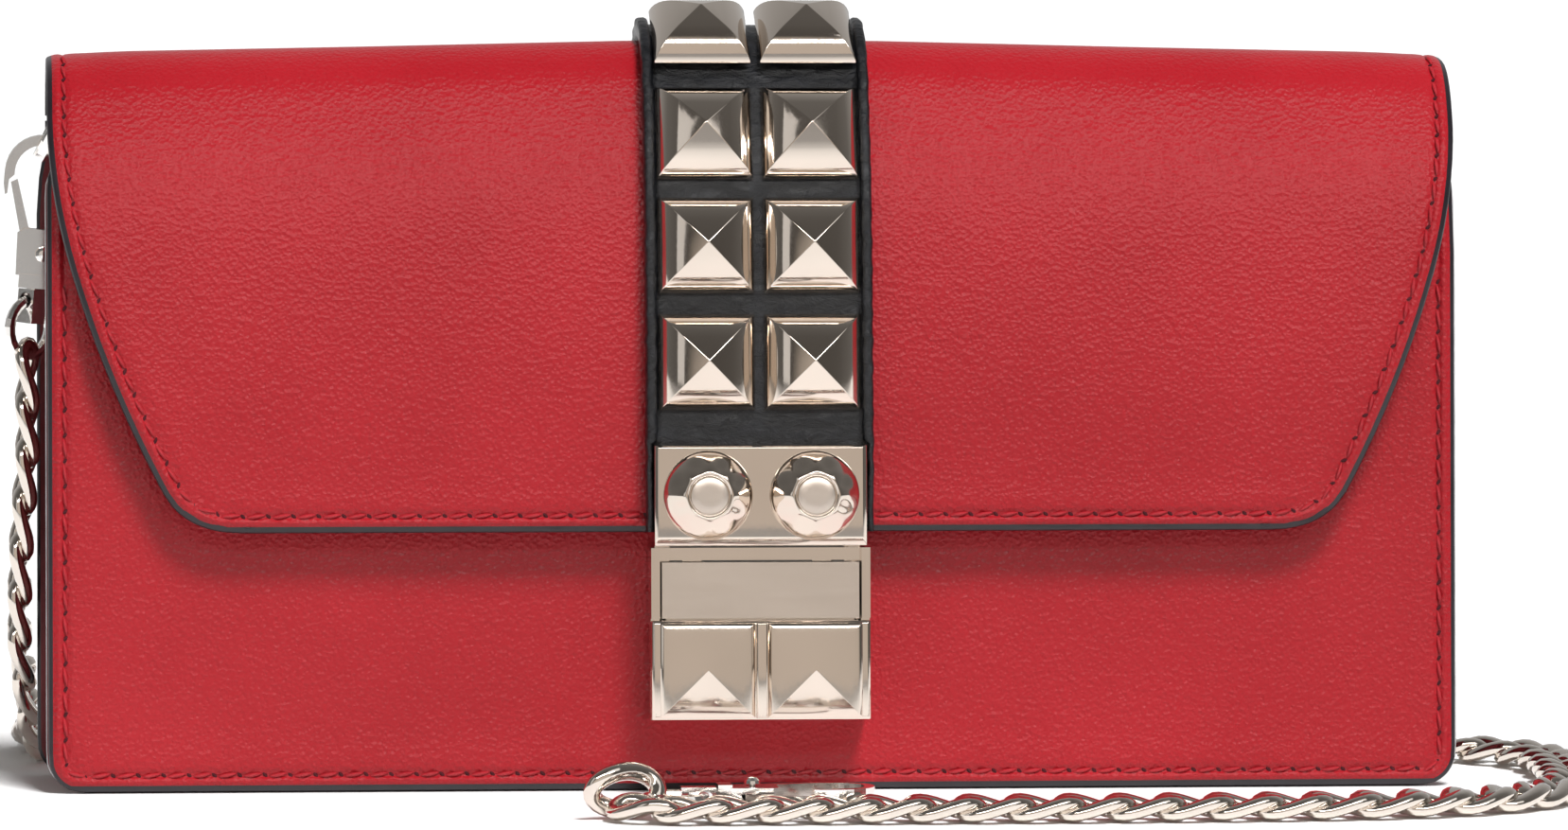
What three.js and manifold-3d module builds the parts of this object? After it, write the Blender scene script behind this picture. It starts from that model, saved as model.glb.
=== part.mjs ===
// Chain wallet: a flap wallet in leather with a studded strap, a push lock,
// D-rings, snap hooks and a chain.
// Millimetres. +X is to the right, +Y to the back and +Z up.
// The origin is the centre of the flat bottom of the base.
import * as THREE from "three";
import { mergeVertices } from "three/addons/utils/BufferGeometryUtils.js";
import Module from "manifold-3d";

const wasm = await Module();
wasm.setup();

// ---------------------------------------------------------------- dimensions

const GAP = 0.3; // between pieces that touch

// Leather body
const WIDTH = 195;
const DEPTH = 28;
const LEATHER = 1.6;
const HALF_W = WIDTH / 2;
const HALF_D = DEPTH / 2;
const LEAN = THREE.MathUtils.degToRad(3.8); // the front panel leans back by this
const FRONT_HEIGHT = 88;
const FRONT_BEND = 74; // above this the front panel turns further back, under the flap
const FRONT_TOP_TILT = THREE.MathUtils.degToRad(14.8);
const BEND_EXTRA = Math.tan(FRONT_TOP_TILT) - Math.tan(LEAN);
const BACK_HEIGHT = 91.8;
const BACK_HALF_W = HALF_W + 1.2;
const CORNER_R = 4.6;
const BASE_THICK = 1.4;
const GUSSET_X = 88.9; // inner face of each side gusset
const GUSSET_THICK = 1.2;
const GUSSET_TOP = 82;

// Flap: how far along its outer surface each stretch runs, and the tilt it ends at
const FLAP_OUT = 4.6; // outer surface of the flap in front of the front panel
const FLAP_START_T = 35.7;
const FLAP_STRETCHES = [
  { length: 13.2, tilt: 3.8 },
  { length: 12, tilt: 6.5 },
  { length: 15.2, tilt: 9.5 },
  { length: 14, tilt: 20.5 },
  { length: 7.6, tilt: 22.5 },
];
const FLAP_LEATHER = 1.1;
const FLAP_LINING = 0.8;
const FOLD_END_Z = BACK_HEIGHT + 0.6;

// Strap and studs
const STRAP_W = 31.2;
const STRAP_MIDDLE = 1.6;
const STRAP_EDGE = 2.5;
const STRAP_EDGE_W = 1.5;
const STUD_W = 13.1;
const STUD_H = 5.6;
const STUD_RIM = 0.45;
const STUD_COLUMN_X = 7.3;
const STUD_ROWS = [23.3, 39.25, 54.6, 68.7]; // distance along the flap's outer surface

// Lock, in the front panel's own frame: t runs up the panel, n out of it
const LOCK_HALF = 15.1;
const LOCK_T0 = 10;
const COVER_T1 = 23.6;
const BAR_T0 = 23.9;
const BAR_T1 = 31.6;
const TRAY_T1 = 33.6;
const PLATE_T0 = 34.3;
const PLATE_T1 = 47.7;
const PLATE_HALF = 14.65;
const PLATE_N = [6.8, 8.8];
const COVER_N = [7.2, 8.8];
const DOME_X = 7.35;
const DOME_T = (PLATE_T0 + PLATE_T1) / 2;
const DOME_R = 6.15;
const DOME_H = 3.4;
const SHANK_R = 2.0;
const SHANK_NECK_R = 1.2;
const LATCH_TRAVEL = 2.7;
const LATCH_N = [1.4, 2.2];
const SCREW_BORE_R = 1.1;
const SCREW_X = 11.7;
const SCREW_T = 15;
const SPRING_X = 7.9;

// Rings and snap hooks
const RING_WIRE_R = 0.9;
const RING_BAR = { x: 94.4, y: 6.1, z: 94.6 };
const RING_HALF_Y = 4.2; // half the bar's length, to the wire's middle
const RING_REACH = 8.5; // from the bar to the far wire
const RING_SLOPE = THREE.MathUtils.degToRad(63); // of the left ring, below level
const HOOK_1 = { x: -97.9, y: 6.1, z: 84.5, tilt: THREE.MathUtils.degToRad(5) };
const HOOK_1_TURN = Math.PI / 4; // how far the left hook's swivel is turned
const HOOK_2 = { x: 7.6, y: -50.1, z: 2.8 };
const HOOK_R = 5.3;
const HOOK_INNER_R = 3.9;
const HOOK_THICK = 3.0;
const PIVOT = { u: 0.9, w: -11.2 };
const EYE_RING_R = 3.9;
const EYE_RING_WIRE = 0.75;
const EYE_HOLE_W = -17.75;

// Zip pocket and card panel
const POCKET_X = 86;
const POCKET_Z = [2.2, 74];
const POCKET_FRONT_Y = 2.6;
const POCKET_BACK_Y = 7.7;
const POCKET_THICK = 0.8;
const ZIP_Z = 75.4;
const ZIP_Y = 5.55;
const SLIDER_X = -74;
const PULLER_LENGTH = 15;

// Chain: a flat curb chain; these solids are plain tubes as thick as its links
const CHAIN_R = 1.8;
const FLOOR_Z = 2; // of the chain's middle where it lies on the ground

// Its route, from the left hook to the second hook
const CHAIN_HANGING = [
  [-100.1, 6.1, 58.1],
  [-100.1, 6.3, 52],
  [-100.1, 6.8, 46],
  [-100.5, 7.6, 39.5],
  [-100.9, 8.8, 33],
  [-101.1, 10.6, 26.5],
  [-101.1, 13, 20],
  [-100.5, 16.4, 14],
  [-99.9, 20.8, 8.8],
  [-99.4, 26.4, 5.2],
  [-99, 33.4, 3],
  [-98.6, 41, 2.2],
  [-98, 49, FLOOR_Z],
];
const CHAIN_BEHIND = [
  [-97.9, 49.4, FLOOR_Z],
  [-95.6, 58.6, FLOOR_Z],
  [-91, 68, FLOOR_Z],
  [-84, 75.5, FLOOR_Z],
  [-74, 80, FLOOR_Z],
  [-62, 81.8, FLOOR_Z],
  [-40, 82, FLOOR_Z],
  [0, 82, FLOOR_Z],
  [40, 82, FLOOR_Z],
  [72, 82, FLOOR_Z],
  [82.6, 77.6, FLOOR_Z],
  [87, 67, FLOOR_Z],
  [82.6, 56.4, FLOOR_Z],
  [72, 52, FLOOR_Z],
  [40, 52, FLOOR_Z],
  [0, 52, FLOOR_Z],
  [-40, 52, FLOOR_Z],
  [-66, 52, FLOOR_Z],
  [-76.6, 47.6, FLOOR_Z],
  [-81, 37, FLOOR_Z],
  [-76.6, 26.4, FLOOR_Z],
  [-66, 22, FLOOR_Z],
  [-40, 22, FLOOR_Z],
  [0, 22, FLOOR_Z],
  [40, 22, FLOOR_Z],
  [75, 22, FLOOR_Z],
  [90, 21.8, FLOOR_Z],
];
const CHAIN_FRONT = [
  [90.4, 21.8, FLOOR_Z],
  [98, 20.8, FLOOR_Z],
  [104.4, 17.9, FLOOR_Z],
  [109.4, 13.2, FLOOR_Z],
  [112.2, 7, FLOOR_Z],
  [113, 0, FLOOR_Z],
  [112.8, -8, FLOOR_Z],
  [112.2, -16, FLOOR_Z],
  [111.6, -24, FLOOR_Z],
  [110.3, -31.4, FLOOR_Z],
  [107.8, -38.2, FLOOR_Z],
  [103.9, -44.2, FLOOR_Z],
  [98.4, -49, FLOOR_Z],
  [91.2, -52.7, FLOOR_Z],
  [82, -55.3, FLOOR_Z],
  [70, -56.8, FLOOR_Z],
  [55, -57.4, FLOOR_Z],
  [38, -57.6, FLOOR_Z],
  [20, -57.6, FLOOR_Z],
  [3, -57.6, FLOOR_Z],
  [-8, -57.6, FLOOR_Z],
  [-14.2, -57.2, FLOOR_Z],
  [-18.8, -55.2, FLOOR_Z],
  [-21.2, -51.4, FLOOR_Z],
];

// Colours, roughness and metalness
const RED = [0xa8242f, 0.5, 0];
const DARK_RED = [0x6d1a22, 0.6, 0];
const BLACK = [0x1c1c20, 0.55, 0];
const NICKEL = [0xb9b4ab, 0.15, 1];
const SATIN = [0xa9a297, 0.35, 1];
const STEEL = [0x8c8c8c, 0.4, 1];

// ------------------------------------------------------------------- helpers

const wallet = new THREE.Group();

function addPiece(parent, name, geometry, [color, roughness, metalness]) {
  const material = new THREE.MeshStandardMaterial({ color, roughness, metalness });
  const mesh = new THREE.Mesh(geometry, material);
  mesh.name = name;
  parent.add(mesh);
  return mesh;
}

// A closed mesh as a manifold-3d solid.
function solid(geometry) {
  const bare = geometry.clone();
  bare.deleteAttribute("normal");
  bare.deleteAttribute("uv");
  const merged = mergeVertices(bare, 1e-4);
  const vertProperties = new Float32Array(merged.attributes.position.array);
  const triVerts = new Uint32Array(merged.index.array);
  return new wasm.Manifold(new wasm.Mesh({ numProp: 3, vertProperties, triVerts }));
}

// A manifold-3d solid as a three.js geometry.
function geometryOf(made) {
  const { vertProperties, triVerts } = made.getMesh();
  const geometry = new THREE.BufferGeometry();
  geometry.setAttribute("position", new THREE.BufferAttribute(vertProperties, 3));
  geometry.setIndex(new THREE.BufferAttribute(triVerts, 1));
  geometry.computeVertexNormals();
  return geometry;
}

function joined(...geometries) {
  return geometryOf(geometries.map(solid).reduce((all, next) => all.add(next)));
}

function cut(geometry, ...tools) {
  const made = tools.map(solid).reduce((left, tool) => left.subtract(tool), solid(geometry));
  return geometryOf(made);
}

function common(first, second) {
  return geometryOf(solid(first).intersect(solid(second)));
}

// A box between two corners.
function block([x0, y0, z0], [x1, y1, z1]) {
  const geometry = new THREE.BoxGeometry(x1 - x0, y1 - y0, z1 - z0);
  geometry.translate((x0 + x1) / 2, (y0 + y1) / 2, (z0 + z1) / 2);
  return geometry;
}

function extruded(shape, depth, curveSegments = 6) {
  return new THREE.ExtrudeGeometry(shape, { depth, curveSegments, bevelEnabled: false });
}

// A shape drawn in (x, z), extruded from y0 back to y1.
function plateXZ(shape, y0, y1, curveSegments) {
  const geometry = extruded(shape, y1 - y0, curveSegments);
  geometry.rotateX(Math.PI / 2);
  geometry.translate(0, y1, 0);
  return geometry;
}

// A shape drawn in (y, z), extruded from x0 to x1.
function plateYZ(points, x0, x1) {
  const shape = new THREE.Shape(points.map(([y, z]) => new THREE.Vector2(y, z)));
  const geometry = extruded(shape, x1 - x0);
  const axes = new THREE.Matrix4().makeBasis(
    new THREE.Vector3(0, 1, 0),
    new THREE.Vector3(0, 0, 1),
    new THREE.Vector3(1, 0, 0),
  );
  geometry.applyMatrix4(axes);
  geometry.translate(x0, 0, 0);
  return geometry;
}

function shapeOf(points) {
  return new THREE.Shape(points.map(([x, z]) => new THREE.Vector2(x, z)));
}

// A rectangle with four round corners, drawn in (x, z).
function roundRectangle(x0, z0, x1, z1, r) {
  const shape = new THREE.Shape();
  shape.moveTo(x0 + r, z0);
  shape.lineTo(x1 - r, z0);
  shape.absarc(x1 - r, z0 + r, r, -Math.PI / 2, 0, false);
  shape.lineTo(x1, z1 - r);
  shape.absarc(x1 - r, z1 - r, r, 0, Math.PI / 2, false);
  shape.lineTo(x0 + r, z1);
  shape.absarc(x0 + r, z1 - r, r, Math.PI / 2, Math.PI, false);
  shape.lineTo(x0, z0 + r);
  shape.absarc(x0 + r, z0 + r, r, Math.PI, Math.PI * 1.5, false);
  return shape;
}

// A cylinder along Y between y0 and y1.
function rodY(x, z, r, y0, y1, sides = 16) {
  const geometry = new THREE.CylinderGeometry(r, r, y1 - y0, sides);
  geometry.translate(x, (y0 + y1) / 2, z);
  return geometry;
}

// A tube of round section along a curve, closed on itself or capped.
function tube(curve, r, steps, sides = 8) {
  const section = new THREE.Shape();
  for (let i = 0; i < sides; i++) {
    const a = (i / sides) * Math.PI * 2;
    if (i) section.lineTo(r * Math.cos(a), r * Math.sin(a));
    else section.moveTo(r * Math.cos(a), r * Math.sin(a));
  }
  return new THREE.ExtrudeGeometry(section, { steps, extrudePath: curve });
}

// The frame of the leaning front panel: x, then -n, then t.
const panelFrame = new THREE.Group();
panelFrame.position.y = -HALF_D;
panelFrame.rotation.x = -LEAN;
wallet.add(panelFrame);

// A box in the panel's frame, from (x, t, n) to (x, t, n).
function panelBlock([x0, t0, n0], [x1, t1, n1]) {
  return block([x0, -n1, t0], [x1, -n0, t1]);
}

// A round hole or shank along the panel's normal.
function panelRod(x, t, r, n0, n1, sides = 16) {
  return rodY(x, t, r, -n1, -n0, sides);
}

// The same hole through pieces that are in the wallet's frame.
function holeThroughFront(x, t, r, n0, n1) {
  const geometry = panelRod(x, t, r, n0, n1);
  geometry.rotateX(-LEAN);
  geometry.translate(0, -HALF_D, 0);
  return geometry;
}

// ------------------------------------------------------------ leather body

// The front panel's section in (y, z): it leans back, and bends further back at the top.
function frontLine() {
  const bend = [-HALF_D + FRONT_BEND * Math.tan(LEAN), FRONT_BEND];
  const rise = FRONT_HEIGHT + 1 - FRONT_BEND;
  const top = [bend[0] + rise * Math.tan(FRONT_TOP_TILT), FRONT_HEIGHT + 1];
  const outer = [[-HALF_D, 0], bend, top];
  const inner = outer.map(([y, z]) => [y + LEATHER, z]).reverse();
  return [...inner, ...outer];
}

function buildPanels() {
  const outline = roundRectangle(-HALF_W, 0.2, HALF_W, FRONT_HEIGHT, CORNER_R);
  const sheet = common(plateYZ(frontLine(), -HALF_W, HALF_W), plateXZ(outline, -40, 40));
  const screwHoles = [-1, 1].map((side) =>
    holeThroughFront(side * SCREW_X, SCREW_T, SCREW_BORE_R, -2, 0.5),
  );
  addPiece(wallet, "front_panel", cut(sheet, ...screwHoles), RED);

  const back = roundRectangle(-BACK_HALF_W, 0, BACK_HALF_W, BACK_HEIGHT, CORNER_R);
  addPiece(wallet, "back_panel", plateXZ(back, HALF_D - LEATHER, HALF_D), RED);

  const inner = HALF_D - LEATHER - GAP;
  const base = block([-HALF_W + 2, -inner, 0], [HALF_W - 2, inner, BASE_THICK]);
  addPiece(wallet, "base_strip", base, DARK_RED);

  const foot = BASE_THICK + GAP;
  const frontAt = (z) =>
    -inner + z * Math.tan(LEAN) + Math.max(0, z - FRONT_BEND) * BEND_EXTRA;
  const side = [
    [frontAt(foot), foot],
    [inner, foot],
    [inner, GUSSET_TOP],
    [frontAt(GUSSET_TOP), GUSSET_TOP],
    [frontAt(FRONT_BEND), FRONT_BEND],
  ];
  const outer = GUSSET_X + GUSSET_THICK;
  addPiece(wallet, "side_gusset_left", plateYZ(side, -outer, -GUSSET_X), DARK_RED);
  addPiece(wallet, "side_gusset_right", plateYZ(side, GUSSET_X, outer), DARK_RED);
}

// The line of the flap's outer surface in (y, z), from its front edge over the top.
function flapLine() {
  const stations = [];
  let y = -HALF_D + FLAP_START_T * Math.sin(LEAN) - FLAP_OUT * Math.cos(LEAN);
  let z = FLAP_START_T * Math.cos(LEAN) + FLAP_OUT * Math.sin(LEAN);
  let tilt = LEAN;
  let s = 0;
  const walk = (length, end, steps) => {
    const from = tilt;
    for (let i = 0; i < steps; i++) {
      const middle = from + ((end - from) * (i + 0.5)) / steps;
      y += (Math.sin(middle) * length) / steps;
      z += (Math.cos(middle) * length) / steps;
      s += length / steps;
      tilt = from + ((end - from) * (i + 1)) / steps;
      stations.push({ y, z, tilt, s });
    }
  };
  stations.push({ y, z, tilt, s });
  for (const stretch of FLAP_STRETCHES) {
    walk(stretch.length, THREE.MathUtils.degToRad(stretch.tilt), 2);
  }
  // over the top in one arc that ends straight above the back panel
  const arcRadius = (HALF_D - y) / (1 + Math.cos(tilt));
  walk(arcRadius * (Math.PI - tilt), Math.PI, 12);
  walk(z - FOLD_END_Z, Math.PI, 1);
  return stations;
}

const FLAP_LINE = flapLine();

// The station at a distance s along the flap's outer surface.
function flapStation(s) {
  const next = FLAP_LINE.findIndex((station) => station.s >= s);
  const [a, b] = [FLAP_LINE[next - 1], FLAP_LINE[next]];
  const f = (s - a.s) / (b.s - a.s);
  const mix = (key) => a[key] + (b[key] - a[key]) * f;
  return { y: mix("y"), z: mix("z"), tilt: mix("tilt"), s };
}

// A layer between two heights over the flap's outer surface, from x0 to x1.
function flapLayer(low, high, x0, x1, stations = FLAP_LINE) {
  const at = (height) => (p) => [
    p.y - Math.cos(p.tilt) * height,
    p.z + Math.sin(p.tilt) * height,
  ];
  return plateYZ([...stations.map(at(low)).reverse(), ...stations.map(at(high))], x0, x1);
}

// The flap's outline from the front: its sides curve in to a narrower foot.
function flapOutline() {
  const foot = 36;
  const shape = new THREE.Shape();
  shape.moveTo(-HALF_W, 120);
  shape.lineTo(-HALF_W, 94);
  shape.quadraticCurveTo(-HALF_W, 81, -92.9, 67.5);
  shape.quadraticCurveTo(-88.7, 54.4, -81.9, 41.6);
  shape.quadraticCurveTo(-78.9, foot, -71, foot);
  shape.lineTo(71, foot);
  shape.quadraticCurveTo(78.9, foot, 81.9, 41.6);
  shape.quadraticCurveTo(88.7, 54.4, 92.9, 67.5);
  shape.quadraticCurveTo(HALF_W, 81, HALF_W, 94);
  shape.lineTo(HALF_W, 120);
  return shape;
}

function buildFlap() {
  const outline = () => plateXZ(flapOutline(), -40, 40, 8);
  const shankHoles = () =>
    [-1, 1].map((side) => holeThroughFront(side * DOME_X, DOME_T, SHANK_R + GAP, 0, 12));
  const leather = flapLayer(-FLAP_LEATHER, 0, -HALF_W - 1, HALF_W + 1);
  addPiece(wallet, "flap_leather", cut(common(leather, outline()), ...shankHoles()), RED);
  const liningTop = -FLAP_LEATHER - GAP;
  const lining = flapLayer(liningTop - FLAP_LINING, liningTop, -HALF_W - 1, HALF_W + 1);
  addPiece(wallet, "flap_lining", cut(common(lining, outline()), ...shankHoles()), DARK_RED);

  // the strap has raised edges, and stops where the flap bends
  const under = FLAP_LINE.filter((p) => p.tilt < THREE.MathUtils.degToRad(142));
  const half = STRAP_W / 2;
  const edgeX = half - STRAP_EDGE_W;
  const middle = flapLayer(GAP, GAP + STRAP_MIDDLE, -edgeX - 0.2, edgeX + 0.2, under);
  const raised = under.filter((p) => p.s > PLATE_T1 - FLAP_START_T + 1);
  const flat = under.filter((p) => p.s <= raised[0].s);
  const edges = [-1, 1].flatMap((side) => {
    const [x0, x1] = side < 0 ? [-half, -edgeX] : [edgeX, half];
    return [
      flapLayer(GAP, GAP + STRAP_EDGE, x0, x1, raised),
      flapLayer(GAP, GAP + STRAP_MIDDLE, x0, x1, flat),
    ];
  });
  addPiece(wallet, "strap", cut(joined(middle, ...edges), ...shankHoles()), BLACK);

  const tail = roundRectangle(-half, 60, half, 78, 3);
  const tailPlate = plateXZ(tail, HALF_D + GAP, HALF_D + GAP + STRAP_MIDDLE);
  addPiece(wallet, "strap_tail", tailPlate, BLACK);
}

// A square pyramid whose faces bulge: half width against height.
const BULGED = [
  [1, 0],
  [1, STUD_RIM / STUD_H],
  [0.93, 0.3],
  [0.78, 0.53],
  [0.52, 0.77],
  [0.2, 0.94],
  [0, 1],
];

// Its base lies in local XZ and its tip points to -Y.
function pyramid(width, height, profile = BULGED) {
  const corner = width / Math.SQRT2;
  const points = profile.map(([r, h]) => new THREE.Vector2(r * corner, h * height));
  const geometry = new THREE.LatheGeometry([new THREE.Vector2(0, 0), ...points], 4, Math.PI / 4);
  geometry.rotateX(Math.PI);
  return geometry;
}

function buildStuds() {
  const height = 2 * GAP + STRAP_MIDDLE;
  STUD_ROWS.forEach((s, index) => {
    const p = flapStation(s);
    for (const [word, side] of [["left", -1], ["right", 1]]) {
      const row = STUD_ROWS.length - index;
      const stud = addPiece(wallet, `stud_${word}_${row}`, pyramid(STUD_W, STUD_H), NICKEL);
      stud.position.set(
        side * STUD_COLUMN_X,
        p.y - Math.cos(p.tilt) * height,
        p.z + Math.sin(p.tilt) * height,
      );
      stud.rotation.x = -p.tilt;
    }
  });
}

// --------------------------------------------------------------------- lock

const bothSides = (make) => [-1, 1].map(make);

// A box at x from a to b on one side of the middle.
function sideBlock(side, [a, b], [t0, t1], [n0, n1]) {
  const [x0, x1] = side < 0 ? [-b, -a] : [a, b];
  return panelBlock([x0, t0, n0], [x1, t1, n1]);
}

function buildLockBase() {
  const solidParts = [
    panelBlock([-LOCK_HALF, LOCK_T0, 0.3], [LOCK_HALF, TRAY_T1, 1.1]),
    panelBlock([-14.2, TRAY_T1 - 0.5, 0.3], [14.2, 47.9, 1.1]),
    panelBlock([-LOCK_HALF, LOCK_T0, 1], [LOCK_HALF, LOCK_T0 + 1.2, 6.9]),
    panelBlock([-14, BAR_T1 + GAP, 3], [14, TRAY_T1, 6.4]),
    ...bothSides((side) => sideBlock(side, [13.9, LOCK_HALF], [LOCK_T0, TRAY_T1], [1, 6.9])),
    ...bothSides((side) => sideBlock(side, [13.9, LOCK_HALF], [COVER_T1 + GAP, TRAY_T1], [6, 8])),
    ...bothSides((side) => sideBlock(side, [12.6, 14.2], [TRAY_T1 - 0.5, 47.9], [1, 2.1])),
  ];
  const openings = [
    ...bothSides((side) => sideBlock(side, [7.5, 10.5], [28.3, 30.5], [0, 1.5])),
    ...bothSides((side) => panelRod(side * DOME_X, DOME_T, SHANK_R + 0.4, 0, 1.5)),
    ...bothSides((side) => panelRod(side * SCREW_X, SCREW_T, SCREW_BORE_R, 0, 1.5, 12)),
  ];
  addPiece(panelFrame, "lock_base", cut(joined(...solidParts), ...openings), NICKEL);
}

function buildLockCover() {
  const [low, high] = COVER_N;
  const middleT = (LOCK_T0 + COVER_T1) / 2;
  const pyramids = bothSides((side) => {
    const geometry = pyramid(13.2, 3.2);
    geometry.translate(side * 7.65, -high + 0.2, middleT);
    return geometry;
  });
  const posts = bothSides((side) => panelRod(side * SCREW_X, SCREW_T, 1.7, 1.4, low + 0.1));
  const cover = joined(
    panelBlock([-LOCK_HALF, LOCK_T0, low], [LOCK_HALF, COVER_T1, high]),
    panelBlock([-0.75, LOCK_T0 + 0.4, low], [0.75, COVER_T1 - 0.4, high + 2.4]),
    ...pyramids,
    ...posts,
  );
  const bores = bothSides((side) => panelRod(side * SCREW_X, SCREW_T, SCREW_BORE_R, 1, 4.6, 12));
  addPiece(panelFrame, "lock_lower_plate", cut(cover, ...bores), NICKEL);
}

function buildPushBar() {
  const legProfile = [
    [-6.1, 30],
    [-2.5, 30],
    [-2.5, 29.4],
    [-6.1, 24.15],
  ];
  const legs = [plateYZ(legProfile, -10, -8), plateYZ(legProfile, 8, 10)];
  const bar = joined(
    panelBlock([-13.6, BAR_T0, 6], [13.6, BAR_T1, 7.6]),
    panelBlock([-13, 22.4, 5.4], [13, BAR_T0 + 0.5, 6.6]),
    ...legs,
  );
  addPiece(panelFrame, "push_bar", bar, SATIN);
}

function buildLatch() {
  const [low, high] = LATCH_N;
  const openT = DOME_T + LATCH_TRAVEL;
  const plate = joined(
    panelBlock([-12, 22, low], [12, 47.3, high]),
    panelBlock([-9.7, 19.3, low], [9.7, 22.5, high]),
    ...bothSides((side) => sideBlock(side, [6.4, 9.4], [19.3, 20.3], [low, 4.8])),
  );
  const neck = SHANK_NECK_R + GAP;
  const openings = [
    ...bothSides((side) => sideBlock(side, [7.6, 10.4], [29.4, 33.2], [1, 3])),
    ...bothSides((side) => panelRod(side * DOME_X, openT, SHANK_R + 0.4, 1, 3)),
    ...bothSides((side) => panelRod(side * DOME_X, DOME_T, neck, 1, 3)),
    ...bothSides((side) =>
      panelBlock([side * DOME_X - neck, DOME_T, 1], [side * DOME_X + neck, openT, 3]),
    ),
  ];
  addPiece(panelFrame, "latch_slide", cut(plate, ...openings), STEEL);
}

class Helix extends THREE.Curve {
  constructor(radius, length, turns) {
    super();
    Object.assign(this, { radius, length, turns });
  }

  getPoint(t) {
    const a = t * this.turns * Math.PI * 2;
    const { radius, length } = this;
    return new THREE.Vector3(radius * Math.cos(a), radius * Math.sin(a), t * length);
  }
}

function buildLatchSprings() {
  for (const [word, side] of [["left", -1], ["right", 1]]) {
    const geometry = tube(new Helix(1.25, 6.6, 5), 0.3, 50, 6);
    geometry.translate(side * SPRING_X, -3.4, 11.9);
    addPiece(panelFrame, `latch_spring_${word}`, geometry, STEEL);
  }
}

function buildUpperPlate() {
  const bevel = 0.5;
  const outline = roundRectangle(
    -PLATE_HALF + bevel,
    PLATE_T0 + bevel,
    PLATE_HALF - bevel,
    PLATE_T1 - bevel,
    0.2,
  );
  const [low, high] = PLATE_N;
  const plate = new THREE.ExtrudeGeometry(outline, {
    depth: high - low - 2 * bevel,
    curveSegments: 1,
    bevelSegments: 1,
    bevelSize: bevel,
    bevelThickness: bevel,
  });
  plate.rotateX(Math.PI / 2);
  plate.translate(0, -low - bevel, 0);
  const holes = bothSides((side) =>
    panelRod(side * DOME_X, DOME_T, SHANK_R + GAP, low - 1, high + 1),
  );
  addPiece(panelFrame, "lock_upper_plate", cut(plate, ...holes), NICKEL);

  // each dome has a grooved shank that the latch holds
  const seat = high + GAP;
  const profile = [
    [0, 0.5],
    [SHANK_R, 0.5],
    [SHANK_R, 1.1],
    [SHANK_NECK_R, 1.25],
    [SHANK_NECK_R, 2.35],
    [SHANK_R, 2.5],
    [SHANK_R, seat],
    [DOME_R, seat],
    [DOME_R, seat + 0.25],
    [DOME_R - 0.45, seat + 1.3],
    [DOME_R - 1.4, seat + 2.4],
    [DOME_R - 2.5, seat + 3.05],
    [2.9, seat + DOME_H],
    [2.8, seat + DOME_H - 0.3],
    [2.4, seat + DOME_H - 0.3],
    [2.35, seat + DOME_H],
    [0, seat + DOME_H],
  ];
  const points = profile.map(([r, n]) => new THREE.Vector2(r, n));
  for (const [word, side] of [["left", -1], ["right", 1]]) {
    const dome = new THREE.LatheGeometry(points, 24);
    dome.rotateX(Math.PI);
    dome.translate(side * DOME_X, 0, DOME_T);
    addPiece(panelFrame, `dome_${word}`, dome, NICKEL);
  }
}

function buildLockFixings() {
  const plate = panelBlock([-14, 11, -2.9], [14, 22, -1.9]);
  const bores = bothSides((side) => panelRod(side * SCREW_X, SCREW_T, SCREW_BORE_R, -4, 0, 12));
  addPiece(panelFrame, "lock_back_plate", cut(plate, ...bores), STEEL);
  const profile = [
    [0, -4.2],
    [1.7, -4.2],
    [1.9, -3.9],
    [1.9, -3.2],
    [0.8, -3.2],
    [0.8, 4.1],
    [0, 4.1],
  ];
  const points = profile.map(([r, n]) => new THREE.Vector2(r, n));
  for (const [word, side] of [["left", -1], ["right", 1]]) {
    const screw = new THREE.LatheGeometry(points, 12);
    screw.rotateX(Math.PI);
    screw.translate(side * SCREW_X, 0, SCREW_T);
    addPiece(panelFrame, `lock_screw_${word}`, screw, STEEL);
  }
}

// ------------------------------------------------------------ rings and tabs

// A D: a straight bar along Y and a round end, at an offset from the wire's middle.
function ringOutline(offset, target) {
  const r = RING_HALF_Y + offset;
  const straight = RING_REACH - RING_HALF_Y;
  target.moveTo(-offset, -r);
  target.lineTo(straight, -r);
  target.absarc(straight, 0, r, -Math.PI / 2, Math.PI / 2, false);
  target.lineTo(-offset, r);
  target.closePath();
  return target;
}

function dRing() {
  const shape = ringOutline(RING_WIRE_R - 0.3, new THREE.Shape());
  shape.holes.push(ringOutline(-RING_WIRE_R + 0.3, new THREE.Path()));
  const depth = 2 * RING_WIRE_R - 0.6;
  const geometry = new THREE.ExtrudeGeometry(shape, {
    depth,
    curveSegments: 10,
    bevelSegments: 1,
    bevelSize: 0.3,
    bevelThickness: 0.3,
  });
  geometry.translate(0, 0, -depth / 2);
  return geometry;
}

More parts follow.
